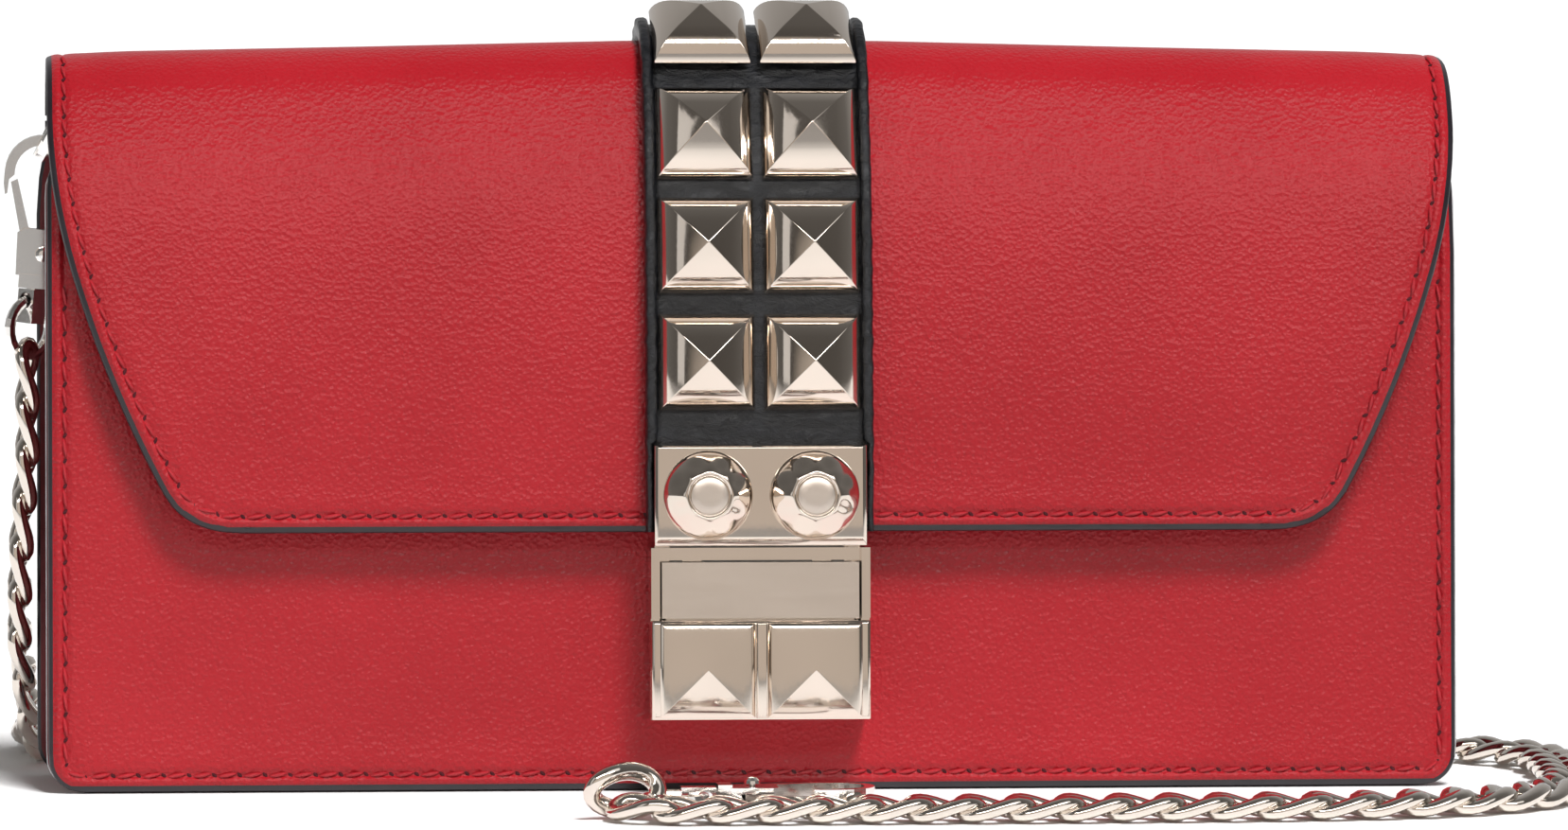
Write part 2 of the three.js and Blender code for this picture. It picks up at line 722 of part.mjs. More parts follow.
function buildRings() {
  for (const [word, side, turn] of [
    ["left", -1, Math.PI - RING_SLOPE],
    ["right", 1, Math.PI / 2],
  ]) {
    const ring = addPiece(wallet, `d_ring_${word}`, dRing(), NICKEL);
    ring.position.set(side * RING_BAR.x, RING_BAR.y, RING_BAR.z);
    ring.rotation.y = turn;

    const loop = new THREE.Shape();
    loop.absarc(side * RING_BAR.x, RING_BAR.z, 2.7, 0, Math.PI * 2, false);
    const inside = new THREE.Shape();
    inside.absarc(side * RING_BAR.x, RING_BAR.z, 1.6, 0, Math.PI * 2, false);
    const [y0, y1] = [RING_BAR.y - 3, RING_BAR.y + 3];
    const wall = GUSSET_X + GUSSET_THICK + GAP;
    const across = (width) => (side < 0 ? [-wall - width, -wall] : [wall, wall + width]);
    const strip = ([x0, x1], z0, z1) => block([x0, y0, z0], [x1, y1, z1]);
    const tab = cut(
      joined(
        plateXZ(loop, y0, y1, 10),
        strip(across(1.2), 73, RING_BAR.z),
        strip(across(3), RING_BAR.z - 2.2, RING_BAR.z),
      ),
      plateXZ(inside, y0 - 1, y1 + 1, 10),
    );
    addPiece(wallet, `ring_tab_${word}`, tab, DARK_RED);
  }
}

// --------------------------------------------------------------- snap hooks

function hookOutline() {
  const shape = new THREE.Shape();
  shape.moveTo(-5, -3.3);
  shape.lineTo(-4.7, -3.1);
  shape.lineTo(-4.6, -1.2);
  shape.lineTo(-HOOK_INNER_R, -0.5);
  shape.lineTo(-HOOK_INNER_R, 0);
  shape.absarc(0, 0, HOOK_INNER_R, Math.PI, 0, true);
  shape.lineTo(3.7, -3);
  shape.lineTo(2.2, -7.8);
  shape.lineTo(-1.9, -7.8);
  shape.lineTo(-2.8, -8.6);
  shape.lineTo(-2.6, -14.3);
  shape.lineTo(2.6, -14.3);
  shape.lineTo(3.9, -8.3);
  shape.lineTo(HOOK_R, -2);
  shape.lineTo(HOOK_R, 0);
  shape.absarc(0, 0, HOOK_R, 0, Math.PI, false);
  shape.lineTo(-HOOK_R, -1.8);
  shape.closePath();
  return shape;
}

const GATE_OUTLINE = [
  [-4.3, -1.6],
  [-3.4, -1.1],
  [-1.35, -7.6],
  [1.9, -9.8],
  [2.2, -11.2],
  [1.2, -12.5],
  [-0.4, -12.2],
  [-2.4, -8.8],
];

function buildHook(number, frame, turn) {
  const half = HOOK_THICK / 2;
  const collar = block([-2.1, -1.9, -16], [2.1, 1.9, -14.1]);
  const bore = new THREE.CylinderGeometry(1.25, 1.25, 2.4, 12);
  bore.rotateX(Math.PI / 2);
  bore.translate(0, 0, -15.5);
  const pinHole = rodY(PIVOT.u, PIVOT.w, 0.75, -3, 3, 10);
  const slot = block([-5, -0.7, -12.9], [2.6, 0.7, -6.9]);
  const body = joined(plateXZ(hookOutline(), -half, half, 8), collar);
  addPiece(frame, `hook${number}_body`, cut(body, slot, bore, pinHole), NICKEL);

  const gate = cut(plateXZ(shapeOf(GATE_OUTLINE), -0.4, 0.4), pinHole);
  addPiece(frame, `hook${number}_gate`, gate, NICKEL);

  const headProfile = [
    [0.45, 1.8],
    [1.1, 1.8],
    [1.0, 2.2],
    [0.6, 2.6],
    [0, 2.7],
  ];
  const front = headProfile.map(([r, y]) => new THREE.Vector2(r, -y)).reverse();
  const back = headProfile.map(([r, y]) => new THREE.Vector2(r, y));
  const pin = new THREE.LatheGeometry([...front, ...back], 10);
  pin.translate(PIVOT.u, 0, PIVOT.w);
  addPiece(frame, `hook${number}_rivet`, pin, NICKEL);

  const stud = new THREE.CylinderGeometry(0.95, 0.95, 1.8, 12);
  stud.rotateX(Math.PI / 2);
  stud.translate(0, 0, -15.6);
  const eyeHole = new THREE.CylinderGeometry(1.15, 1.15, 6, 12);
  eyeHole.rotateZ(Math.PI / 2);
  eyeHole.translate(0, 0, EYE_HOLE_W);
  const eye = cut(joined(block([-1.3, -1.5, -20.9], [1.3, 1.5, -16.2]), stud), eyeHole);
  eye.rotateZ(turn);
  addPiece(frame, `hook${number}_swivel`, eye, NICKEL);

  const ring = new THREE.TorusGeometry(EYE_RING_R, EYE_RING_WIRE, 8, 24);
  ring.rotateX(Math.PI / 2);
  ring.rotateZ(turn);
  ring.translate(0, 0, EYE_HOLE_W - EYE_RING_R + 0.1);
  addPiece(frame, `hook${number}_ring`, ring, NICKEL);
}

function buildHooks() {
  const first = new THREE.Group();
  first.position.set(HOOK_1.x, HOOK_1.y, HOOK_1.z);
  first.rotation.y = HOOK_1.tilt;
  wallet.add(first);
  buildHook(1, first, HOOK_1_TURN);

  // the second hook lies flat on the ground and points to the right
  const second = new THREE.Group();
  second.position.set(HOOK_2.x, HOOK_2.y, HOOK_2.z);
  const axes = new THREE.Matrix4().makeBasis(
    new THREE.Vector3(0, 1, 0),
    new THREE.Vector3(0, 0, 1),
    new THREE.Vector3(1, 0, 0),
  );
  second.quaternion.setFromRotationMatrix(axes);
  wallet.add(second);
  buildHook(2, second, 0);
}

// -------------------------------------------------------- pocket and cards

function buildPocket() {
  const [z0, z1] = POCKET_Z;
  const sheet = (y, top, half) => block([-half, y, z0], [half, y + POCKET_THICK, top]);
  addPiece(wallet, "zip_pocket_front", sheet(POCKET_FRONT_Y, z1, POCKET_X), DARK_RED);
  addPiece(wallet, "zip_pocket_back", sheet(POCKET_BACK_Y, z1, POCKET_X), DARK_RED);
  const floor = block(
    [-POCKET_X, POCKET_FRONT_Y + POCKET_THICK + GAP, z0],
    [POCKET_X, POCKET_BACK_Y - GAP, z0 + POCKET_THICK],
  );
  addPiece(wallet, "zip_pocket_base", floor, DARK_RED);

  const tapeZ = z1 + GAP;
  const tape = block(
    [-POCKET_X, POCKET_FRONT_Y, tapeZ],
    [POCKET_X, POCKET_BACK_Y + POCKET_THICK, tapeZ + 0.6],
  );
  addPiece(wallet, "zip_tape", tape, BLACK);
  const teeth = block([-80, ZIP_Y - 0.8, ZIP_Z - 0.2], [80, ZIP_Y + 0.8, ZIP_Z + 1]);
  addPiece(wallet, "zip_teeth", teeth, NICKEL);

  const slider = cut(
    joined(
      block([SLIDER_X - 4, ZIP_Y - 1.9, ZIP_Z - 0.1], [SLIDER_X + 4, ZIP_Y + 1.9, 78.4]),
      block([SLIDER_X - 3, ZIP_Y - 0.6, 78], [SLIDER_X + 3, ZIP_Y + 0.6, 79.4]),
    ),
    block([SLIDER_X - 5, ZIP_Y - 1.1, ZIP_Z - 1], [SLIDER_X + 5, ZIP_Y + 1.1, ZIP_Z + 1.3]),
  );
  addPiece(wallet, "zip_slider", slider, NICKEL);
  const puller = roundRectangle(0, -1.6, PULLER_LENGTH, 1.6, 1.2);
  const pullerPlate = extruded(puller, 0.8, 4);
  pullerPlate.translate(SLIDER_X, ZIP_Y, 79.7);
  addPiece(wallet, "zip_puller", pullerPlate, NICKEL);
}

function buildCardPanels() {
  for (const [index, top] of [56, 64, 72].entries()) {
    const y = 9.1 + index * (POCKET_THICK + GAP);
    const sheet = block([-80, y, 3], [80, y + POCKET_THICK, top]);
    addPiece(wallet, `card_panel_${index + 1}`, sheet, DARK_RED);
  }
}

// -------------------------------------------------------------------- chain

function buildChain() {
  for (const [name, route, steps] of [
    ["chain_hanging", CHAIN_HANGING, 18],
    ["chain_behind", CHAIN_BEHIND, 60],
    ["chain_front", CHAIN_FRONT, 36],
  ]) {
    const curve = new THREE.CatmullRomCurve3(route.map((p) => new THREE.Vector3(...p)));
    addPiece(wallet, name, tube(curve, CHAIN_R, steps), NICKEL);
  }
}

buildPanels();
buildFlap();
buildStuds();
buildLockBase();
buildLockCover();
buildPushBar();
buildLatch();
buildLatchSprings();
buildUpperPlate();
buildLockFixings();
buildRings();
buildHooks();
buildPocket();
buildCardPanels();
buildChain();

export default wallet;
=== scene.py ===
import math

import bpy
import numpy as np
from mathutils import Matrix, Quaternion, Vector


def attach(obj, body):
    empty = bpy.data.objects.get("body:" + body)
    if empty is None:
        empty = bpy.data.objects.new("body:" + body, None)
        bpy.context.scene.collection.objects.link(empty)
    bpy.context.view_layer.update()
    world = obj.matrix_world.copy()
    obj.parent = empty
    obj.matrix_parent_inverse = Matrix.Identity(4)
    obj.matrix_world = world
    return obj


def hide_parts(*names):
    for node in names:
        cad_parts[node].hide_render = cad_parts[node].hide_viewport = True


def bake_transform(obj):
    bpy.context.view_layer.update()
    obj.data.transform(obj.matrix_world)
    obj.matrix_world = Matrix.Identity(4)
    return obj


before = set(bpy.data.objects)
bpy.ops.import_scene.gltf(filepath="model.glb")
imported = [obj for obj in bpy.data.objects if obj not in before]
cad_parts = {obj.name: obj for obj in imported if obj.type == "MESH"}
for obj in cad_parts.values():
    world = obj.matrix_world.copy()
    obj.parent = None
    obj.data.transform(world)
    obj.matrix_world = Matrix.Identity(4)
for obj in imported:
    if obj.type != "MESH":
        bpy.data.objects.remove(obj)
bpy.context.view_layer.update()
scene = bpy.context.scene

# Lengths below are in millimetres, and become metres when a mesh is made.
MM = 0.001
GAP = 0.3  # between two layers that lie on each other
SIDES = (("left", -1), ("right", 1))

# The body and the flap, as in the CAD
HALF_W = 97.5
BACK_HALF_W = 98.7
HALF_D = 14.0
LEATHER = 1.6
LEAN = math.radians(3.8)
FRONT_HEIGHT = 88.0
FRONT_BEND = 74.0
FRONT_TOP_TILT = math.radians(14.8)
BACK_HEIGHT = 91.8
CORNER_R = 4.6
GUSSET_X = 88.9
FLAP_OUT = 4.6
FLAP_START_T = 35.7
FLAP_STRETCHES = [(13.2, 3.8), (12, 6.5), (15.2, 9.5), (14, 20.5), (7.6, 22.5)]
FLAP_FOOT_Z = 36.0
FLAP_LEATHER = 1.1  # the outer layer's thickness
FLAP_LINING = 0.8
STRAP_MIDDLE = 1.6
STUD_ROWS = [23.3, 39.25, 54.6, 68.7]
STUD_COLUMN_X = 7.3
LOCK_T0 = 10.0
COVER_T1 = 23.6
PLATE_T = (33.9, 47.7)
DOME_X = 7.35
DOME_T = sum(PLATE_T) / 2

CHAIN_HANGING = [
    (-100.1, 6.1, 58.1), (-100.1, 6.3, 52), (-100.1, 6.8, 46), (-100.5, 7.6, 39.5),
    (-100.9, 8.8, 33), (-101.1, 10.6, 26.5), (-101.1, 13, 20), (-100.5, 16.4, 14),
    (-99.9, 20.8, 8.8), (-99.4, 26.4, 5.2), (-99, 33.4, 3), (-98.6, 41, 2.2), (-98, 49, 2),
]
CHAIN_BEHIND = [
    (-97.9, 49.4), (-95.6, 58.6), (-91, 68), (-84, 75.5), (-74, 80), (-62, 81.8),
    (-40, 82), (0, 82), (40, 82), (72, 82), (82.6, 77.6), (87, 67), (82.6, 56.4),
    (72, 52), (40, 52), (0, 52), (-40, 52), (-66, 52), (-76.6, 47.6), (-81, 37),
    (-76.6, 26.4), (-66, 22), (-40, 22), (0, 22), (40, 22), (75, 22), (90, 21.8),
]
CHAIN_FRONT = [
    (90.4, 21.8), (98, 20.8), (104.4, 17.9), (109.4, 13.2), (112.2, 7), (113, 0),
    (112.8, -8), (112.2, -16), (111.6, -24), (110.3, -31.4), (107.8, -38.2),
    (103.9, -44.2), (98.4, -49), (91.2, -52.7), (82, -55.3), (70, -56.8), (55, -57.4),
    (38, -57.6), (20, -57.6), (3, -57.6), (-8, -57.6), (-14.2, -57.2), (-18.8, -55.2),
    (-21.2, -51.4),
]
CHAIN_FLOOR_Z = 2.0
LINK_PITCH = 6.75


# ---------- the camera

CAMERA_AZIMUTH = math.radians(-5)
CAMERA_ELEVATION = math.radians(3.8)
CAMERA_DISTANCE = 1400
CAMERA_TARGET = Vector((4.07, -9.0, 51.6))
CAMERA_ROLL = math.radians(0.18)
CAMERA_LENS = 232.4


def make_camera():
    data = bpy.data.cameras.new("camera")
    data.lens = CAMERA_LENS
    data.sensor_width = 36
    data.clip_end = 20
    camera = bpy.data.objects.new("camera", data)
    scene.collection.objects.link(camera)
    level = math.cos(CAMERA_ELEVATION)
    back = Vector((math.sin(CAMERA_AZIMUTH) * level, -math.cos(CAMERA_AZIMUTH) * level,
                   math.sin(CAMERA_ELEVATION)))
    camera.location = (CAMERA_TARGET + back * CAMERA_DISTANCE) * MM
    camera.rotation_mode = "QUATERNION"
    turn = Quaternion((0, 0, 1), CAMERA_ROLL)
    camera.rotation_quaternion = (-back).to_track_quat("-Z", "Y") @ turn
    scene.camera = camera


# ---------- helpers

def smoothstep(a, b, value):
    t = min(1.0, max(0.0, (value - a) / (b - a)))
    return t * t * (3 - 2 * t)


def ramp(value, points):
    """The value of a broken line through (input, output) points."""
    return float(np.interp(value, [p[0] for p in points], [p[1] for p in points]))


def piece(name, verts, faces, materials, picks=None, smooth=True):
    """A mesh object from vertices in millimetres. picks says which material each face has."""
    mesh = bpy.data.meshes.new(name)
    mesh.from_pydata([tuple(c * MM for c in v) for v in verts], [], faces)
    for material in materials:
        mesh.materials.append(material)
    if picks:
        mesh.polygons.foreach_set("material_index", picks)
    mesh.polygons.foreach_set("use_smooth", [smooth] * len(mesh.polygons))
    mesh.validate()
    obj = bpy.data.objects.new(name, mesh)
    scene.collection.objects.link(obj)
    return obj


def rounded(obj, width, segments=2, angle=35):
    """Rounds the edges of a piece with a bevel."""
    bevel = obj.modifiers.new("edges", "BEVEL")
    bevel.width = width * MM
    bevel.segments = segments
    bevel.limit_method = "ANGLE"
    bevel.angle_limit = math.radians(angle)
    return obj


def place(obj, body, nodes=()):
    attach(obj, body)
    if nodes:
        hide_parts(*nodes)
    return obj


class Parts:
    """Collects vertices and faces of many small shapes for one mesh."""

    def __init__(self):
        self.verts = []
        self.faces = []
        self.picks = []

    def add(self, verts, faces, pick=0):
        start = len(self.verts)
        self.verts.extend(tuple(v) for v in verts)
        self.faces.extend(tuple(i + start for i in face) for face in faces)
        self.picks.extend([pick] * len(faces))

    def build(self, name, materials, smooth=True):
        return piece(name, self.verts, self.faces, materials, self.picks, smooth)


def ring_faces(rings, sides, closed=False):
    """Quads between rings of points that each have the same number of points."""
    faces = []
    for i in range(rings if closed else rings - 1):
        a = i * sides
        b = (i + 1) % rings * sides
        for j in range(sides):
            k = (j + 1) % sides
            faces.append((a + j, a + k, b + k, b + j))
    return faces


def capped_faces(rings, sides):
    """Quads between open rings, and a face at each end."""
    first = tuple(range(sides))
    return ring_faces(rings, sides) + [
        first[::-1], tuple((rings - 1) * sides + j for j in first)]


def skin(name, sections, materials):
    """A closed piece through sections, which are rings of points in order."""
    verts = [point for section in sections for point in section]
    return piece(name, verts, capped_faces(len(sections), len(sections[0])), materials)


def lathe(profile, sides, origin, axis, across):
    """A turned solid. profile is (radius, height), and a height may be a function of the angle."""
    axis, across = Vector(axis).normalized(), Vector(across).normalized()
    other = axis.cross(across)
    verts = []
    for radius, h in profile:
        for j in range(sides):
            a = 2 * math.pi * j / sides
            side = across * math.cos(a) + other * math.sin(a)
            verts.append(Vector(origin) + side * radius + axis * (h(a) if callable(h) else h))
    return verts, capped_faces(len(profile), sides)


def tube(points, radii, sides):
    """A tube along points, with a radius at each, as vertices and faces."""
    pts = [Vector(p) for p in points]
    n = len(pts)
    verts = []
    normal = None
    for i, p in enumerate(pts):
        tangent = (pts[min(i + 1, n - 1)] - pts[max(i - 1, 0)]).normalized()
        if normal is None:
            normal = Vector((0, 0, 1)) if abs(tangent.z) < 0.9 else Vector((0, 1, 0))
        normal = (normal - tangent * normal.dot(tangent)).normalized()
        side = tangent.cross(normal)
        r = radii[i]
        for j in range(sides):
            a = 2 * math.pi * j / sides
            verts.append(p + normal * (r * math.cos(a)) + side * (r * math.sin(a)))
    return verts, capped_faces(n, sides)


# ---------- materials

def node(tree, kind, **values):
    """A node whose values are inputs (with _ for a space) or plain settings."""
    made = tree.nodes.new(kind)
    for key, value in values.items():
        socket = key.replace("_", " ")
        if socket in made.inputs:
            made.inputs[socket].default_value = value
        else:
            setattr(made, key, value)
    return made


def finish_material(name, color, roughness, metallic=0.0, **sockets):
    """A Principled material with its constants set on the shader's own sockets."""
    material = bpy.data.materials.new(name)
    material.use_nodes = True
    tree = material.node_tree
    shader = tree.nodes["Principled BSDF"]
    shader.inputs["Base Color"].default_value = (*color, 1)
    shader.inputs["Roughness"].default_value = roughness
    shader.inputs["Metallic"].default_value = metallic
    for key, value in sockets.items():
        shader.inputs[key.replace("_", " ")].default_value = value
    coords = node(tree, "ShaderNodeTexCoord")
    return material, tree, shader, coords.outputs["Object"]


def texture(tree, coords, kind, scale, stretch=None, **values):
    """The value of a Noise, Voronoi or Wave texture in object space, maybe stretched."""
    if stretch:
        mapping = node(tree, "ShaderNodeMapping", Scale=stretch)
        tree.links.new(coords, mapping.inputs["Vector"])
        coords = mapping.outputs["Vector"]
    made = node(tree, "ShaderNodeTex" + kind, Scale=scale, **values)
    tree.links.new(coords, made.inputs["Vector"])
    return made.outputs["Distance" if kind == "Voronoi" else "Fac"]


def bump(tree, height, strength, distance, before=None):
    made = node(tree, "ShaderNodeBump", Strength=strength, Distance=distance * MM)
    tree.links.new(height, made.inputs["Height"])
    if before:
        tree.links.new(before, made.inputs["Normal"])
    return made.outputs["Normal"]


def blend_colors(tree, factor, low, high, start=0.3, end=0.7):
    """Two colours mixed by a texture's value between start and end."""
    made = node(tree, "ShaderNodeValToRGB")
    made.color_ramp.elements[0].position = start
    made.color_ramp.elements[0].color = (*low, 1)
    made.color_ramp.elements[1].position = end
    made.color_ramp.elements[1].color = (*high, 1)
    tree.links.new(factor, made.inputs["Fac"])
    return made.outputs["Color"]


def value_range(tree, factor, **limits):
    made = node(tree, "ShaderNodeMapRange", **limits)
    tree.links.new(factor, made.inputs["Value"])
    return made.outputs["Result"]


def connect(tree, shader, **outputs):
    for key, output in outputs.items():
        tree.links.new(output, shader.inputs[key.replace("_", " ")])


def along_y(tree, coords, start, end):
    """0 to 1 between two values of Y."""
    split = node(tree, "ShaderNodeSeparateXYZ")
    tree.links.new(coords, split.inputs[0])
    return value_range(tree, split.outputs["Y"], From_Min=start, From_Max=end)


def leather(name, light, dark, roughness, grain=0.55, depth=0.05, wrinkle=0.12, **sockets):
    """Smooth calf: a fine pebbled grain, soft wrinkles and a slight change of colour."""
    material, tree, shader, coords = finish_material(name, light, roughness, **sockets)
    cells = texture(tree, coords, "Voronoi", 1 / (grain * MM), Randomness=1.0)
    fine = texture(tree, coords, "Noise", 1100, Detail=4.0, Roughness=0.6, Distortion=0.3)
    broad = texture(tree, coords, "Noise", 90, Detail=3.0, Roughness=0.5)
    mottle = texture(tree, coords, "Noise", 28, Detail=5.0, Roughness=0.55)
    normal = bump(tree, cells, 0.75, depth * 1.5)
    normal = bump(tree, fine, 0.75, depth * 1.8, normal)
    normal = bump(tree, broad, 0.35, wrinkle, normal)
    connect(tree, shader, Normal=normal, Base_Color=blend_colors(tree, mottle, dark, light),
            Roughness=value_range(tree, fine, To_Min=roughness - 0.08, To_Max=roughness + 0.08))
    return material


def creased_leather(name, light, dark, roughness):
    """Glossy black leather with creases along it."""
    material, tree, shader, coords = finish_material(name, dark, roughness, Coat_Weight=0.1,
                                                     Coat_Roughness=0.25,
                                                     Specular_IOR_Level=0.4)
    crease = texture(tree, coords, "Noise", 560, (0.6, 1, 1), Detail=6.0,
                     Roughness=0.65, Distortion=0.5)
    cells = texture(tree, coords, "Voronoi", 900, Randomness=1.0)
    normal = bump(tree, crease, 1.0, 0.6)
    normal = bump(tree, cells, 0.6, 0.1, normal)
    connect(tree, shader, Normal=normal,
            Base_Color=blend_colors(tree, crease, dark, light, 0.45, 0.75))
    return material


def metal(name, color, roughness, streak=None, waviness=0.02):
    """Plated metal: slight waves in the polish, and fine scratches or brushing."""
    material, tree, shader, coords = finish_material(name, color, roughness, 1.0)
    wave = texture(tree, coords, "Noise", 220, Detail=2.0)
    normal = bump(tree, wave, 0.25, waviness)
    scale, stretch, depth = (900, streak, 0.02) if streak else (2600, None, 0.003)
    fine = texture(tree, coords, "Noise", scale, stretch, Detail=5.0)
    normal = bump(tree, fine, 0.4, depth, normal)
    rough = value_range(tree, fine, To_Min=max(0.02, roughness - 0.04), To_Max=roughness + 0.06)
    tone = texture(tree, coords, "Noise", 60, Detail=2.0)
    darker = tuple(c * 0.93 for c in color)
    connect(tree, shader, Normal=normal, Roughness=rough,
            Base_Color=blend_colors(tree, tone, darker, color))
    return material


def woven(name, light, dark, pitch=0.5):
    """A woven tape with its threads pitch millimetres apart."""
    material, tree, shader, coords = finish_material(name, light, 0.85)
    both = node(tree, "ShaderNodeMath", operation="MULTIPLY")
    for index, direction in enumerate("XY"):
        wave = texture(tree, coords, "Wave", 1 / (pitch * MM) / 6.28, bands_direction=direction)
        tree.links.new(wave, both.inputs[index])
    weave = both.outputs[0]
    connect(tree, shader, Normal=bump(tree, weave, 0.8, 0.12),
            Base_Color=blend_colors(tree, weave, dark, light, 0.1, 0.8))
    return material


def edge_paint(name, color, roughness):
    """Painted edge: smooth, with slow waves."""
    material, tree, shader, coords = finish_material(name, color, roughness)
    wave = texture(tree, coords, "Noise", 300, Detail=3.0)
    lighter = tuple(c * 1.6 for c in color)
    connect(tree, shader, Normal=bump(tree, wave, 0.35, 0.08),
            Base_Color=blend_colors(tree, wave, color, lighter))
    return material


RED = leather("red_leather", (0.365, 0.0105, 0.018), (0.305, 0.007, 0.013), 0.34,
              grain=0.6, depth=0.1, Specular_IOR_Level=0.3)
RED_LINING = leather("lining_leather", (0.17, 0.009, 0.014), (0.13, 0.006, 0.010), 0.55,
                     grain=0.4, depth=0.03)
THREAD = leather("thread", (0.40, 0.013, 0.022), (0.30, 0.008, 0.015), 0.6, grain=0.25)
# the holes' dark colour is painted shade, for the shade inside punched holes
HOLE_SHADE = edge_paint("stitch_hole_shade", (0.045, 0.003, 0.006), 0.9)
BLACK_EDGE = edge_paint("edge_paint", (0.012, 0.009, 0.012), 0.32)
# pale grey edge paint: a painted highlight, for the shine along a glossy black edge
PALE_EDGE_HIGHLIGHT = edge_paint("edge_paint_pale_highlight", (0.36, 0.35, 0.36), 0.3)
BLACK_LEATHER = creased_leather("black_leather", (0.012, 0.013, 0.017), (0.003, 0.0035, 0.005),
                                0.3)
NICKEL = metal("polished_nickel", (0.79, 0.70, 0.615), 0.07)
NICKEL_SATIN_DISC = metal("satin_disc", (0.66, 0.58, 0.51), 0.36)
CHAIN_METAL = metal("chain_nickel", (0.80, 0.73, 0.66), 0.08)
HOOK_METAL = metal("hook_nickel", (0.94, 0.91, 0.88), 0.12)
SATIN = metal("satin_nickel", (0.66, 0.575, 0.50), 0.3, streak=(0.06, 1, 1))
STEEL = metal("steel", (0.55, 0.55, 0.54), 0.35)
ZIP_TAPE = woven("zip_fabric", (0.045, 0.012, 0.015), (0.012, 0.004, 0.005))
CALF = [RED, BLACK_EDGE, RED_LINING]  # a sheet's outer face, its edge and its inner face


# ---------- chain

def catmull_rom(points, per_span=14):
    """A centripetal spline through the points."""
    pts = [Vector(p) for p in points]
    pts = [pts[0] * 2 - pts[1]] + pts + [pts[-1] * 2 - pts[-2]]
    made = []
    for i in range(len(pts) - 3):
        level = pts[i:i + 4]
        t = [0.0]
        for a, b in zip(level, level[1:]):
            t.append(t[-1] + math.sqrt((b - a).length))
        spans = [[(0, 1), (1, 2), (2, 3)], [(0, 2), (1, 3)], [(1, 2)]]
        for k in range(per_span + (i == len(pts) - 4)):
            x = t[1] + (t[2] - t[1]) * k / per_span
            mixed = level
            for pairs in spans:
                mixed = [
                    a.lerp(b, (x - t[m]) / (t[n] - t[m]))
                    for a, b, (m, n) in zip(mixed, mixed[1:], pairs)
                ]
            made.append(mixed[0])
    return made


class Route:
    """Points along a line, by distance."""

    def __init__(self, points):
        self.points = np.array([tuple(p) for p in points])
        steps = np.linalg.norm(np.diff(self.points, axis=0), axis=1)
        self.at = np.concatenate([[0], np.cumsum(steps)])
        self.length = float(self.at[-1])

    def __call__(self, s):
        return Vector([float(np.interp(s, self.at, self.points[:, k])) for k in range(3)])

    def along(self, s, reach=2.4):
        a, b = max(0.0, s - reach), min(self.length, s + reach)
        return (self(b) - self(a)).normalized()


LINK_LENGTH, LINK_WIDTH, LINK_TWIST = 4.6, 2.62, 0.8
LINK_WIRE = (1.27, 1.0)  # half width and half thickness of the flattened wire
LINK_FLAT = 1.72  # the chain is ground flat on both faces, this far from its middle
FIRST_LINK_AT = 2.15
CHAIN_TURNS = (48.0, 92.0)  # where the hanging chain turns to lie flat on the floor
HOOK2_RING_END = Vector((-17.3, -50.1, 2.8))
CHAIN_END = Vector((-24.4, -51.6, 4.1))


def curb_link(center, along, normal, steps=28, sides=10):
    """One flattened, twisted link. along is the chain's direction, normal its flat side's."""
    along = Vector(along).normalized()
    normal = (normal - along * normal.dot(along)).normalized()
    across = normal.cross(along)
    verts = []
    for i in range(steps):
        a = 2 * math.pi * i / steps
        position = Vector((LINK_LENGTH * math.cos(a), LINK_WIDTH * math.sin(a),
                           -LINK_TWIST * math.sin(2 * a)))
        forward = Vector((-LINK_LENGTH * math.sin(a), LINK_WIDTH * math.cos(a),
                          -2 * LINK_TWIST * math.cos(2 * a))).normalized()
        outward = Vector((math.cos(a) / LINK_LENGTH, math.sin(a) / LINK_WIDTH, 0))
        outward = (outward - forward * outward.dot(forward)).normalized()
        up = forward.cross(outward)
        for j in range(sides):
            b = 2 * math.pi * j / sides
            c, d = math.cos(b), math.sin(b)
            local = position + outward * (LINK_WIRE[0] * c) + up * (LINK_WIRE[1] * d)
            z = max(-LINK_FLAT, min(LINK_FLAT, local.z))
            verts.append(center + along * local.x + across * local.y + normal * z)
    return verts, ring_faces(steps, sides, closed=True)


def make_chain():
    floor = [(x, y, CHAIN_FLOOR_Z) for x, y in CHAIN_BEHIND]
    front = [(x, y, CHAIN_FLOOR_Z) for x, y in CHAIN_FRONT]
    points = catmull_rom(CHAIN_HANGING) + catmull_rom(floor)[1:] + catmull_rom(front)[1:]
    route = Route(points)
    count = int((route.length - FIRST_LINK_AT) / LINK_PITCH)
    parts = Parts()
    for i in range(count + 1):
        s = FIRST_LINK_AT + i * LINK_PITCH
        turned = smoothstep(*CHAIN_TURNS, s)
        normal = Vector((1, 0, 0)) * (1 - turned) + Vector((0, 0, 1)) * turned
        parts.add(*curb_link(route(s), route.along(s), normal))
    # the last link joins the chain to the second hook's ring
    parts.add(*curb_link((HOOK2_RING_END + CHAIN_END) / 2 + Vector((0, 0, 0.45)),
                         (HOOK2_RING_END - CHAIN_END) * Vector((1, 1, 0)), Vector((0, 1, 0))))
    chain = parts.build("chain_links", [CHAIN_METAL])
    place(chain, "wallet", ["chain_hanging", "chain_behind", "chain_front"])
    stations = [route(s) * MM for s in np.linspace(0, route.length, 700)]
    tuple(route(0) * MM)


# ---------- leather body

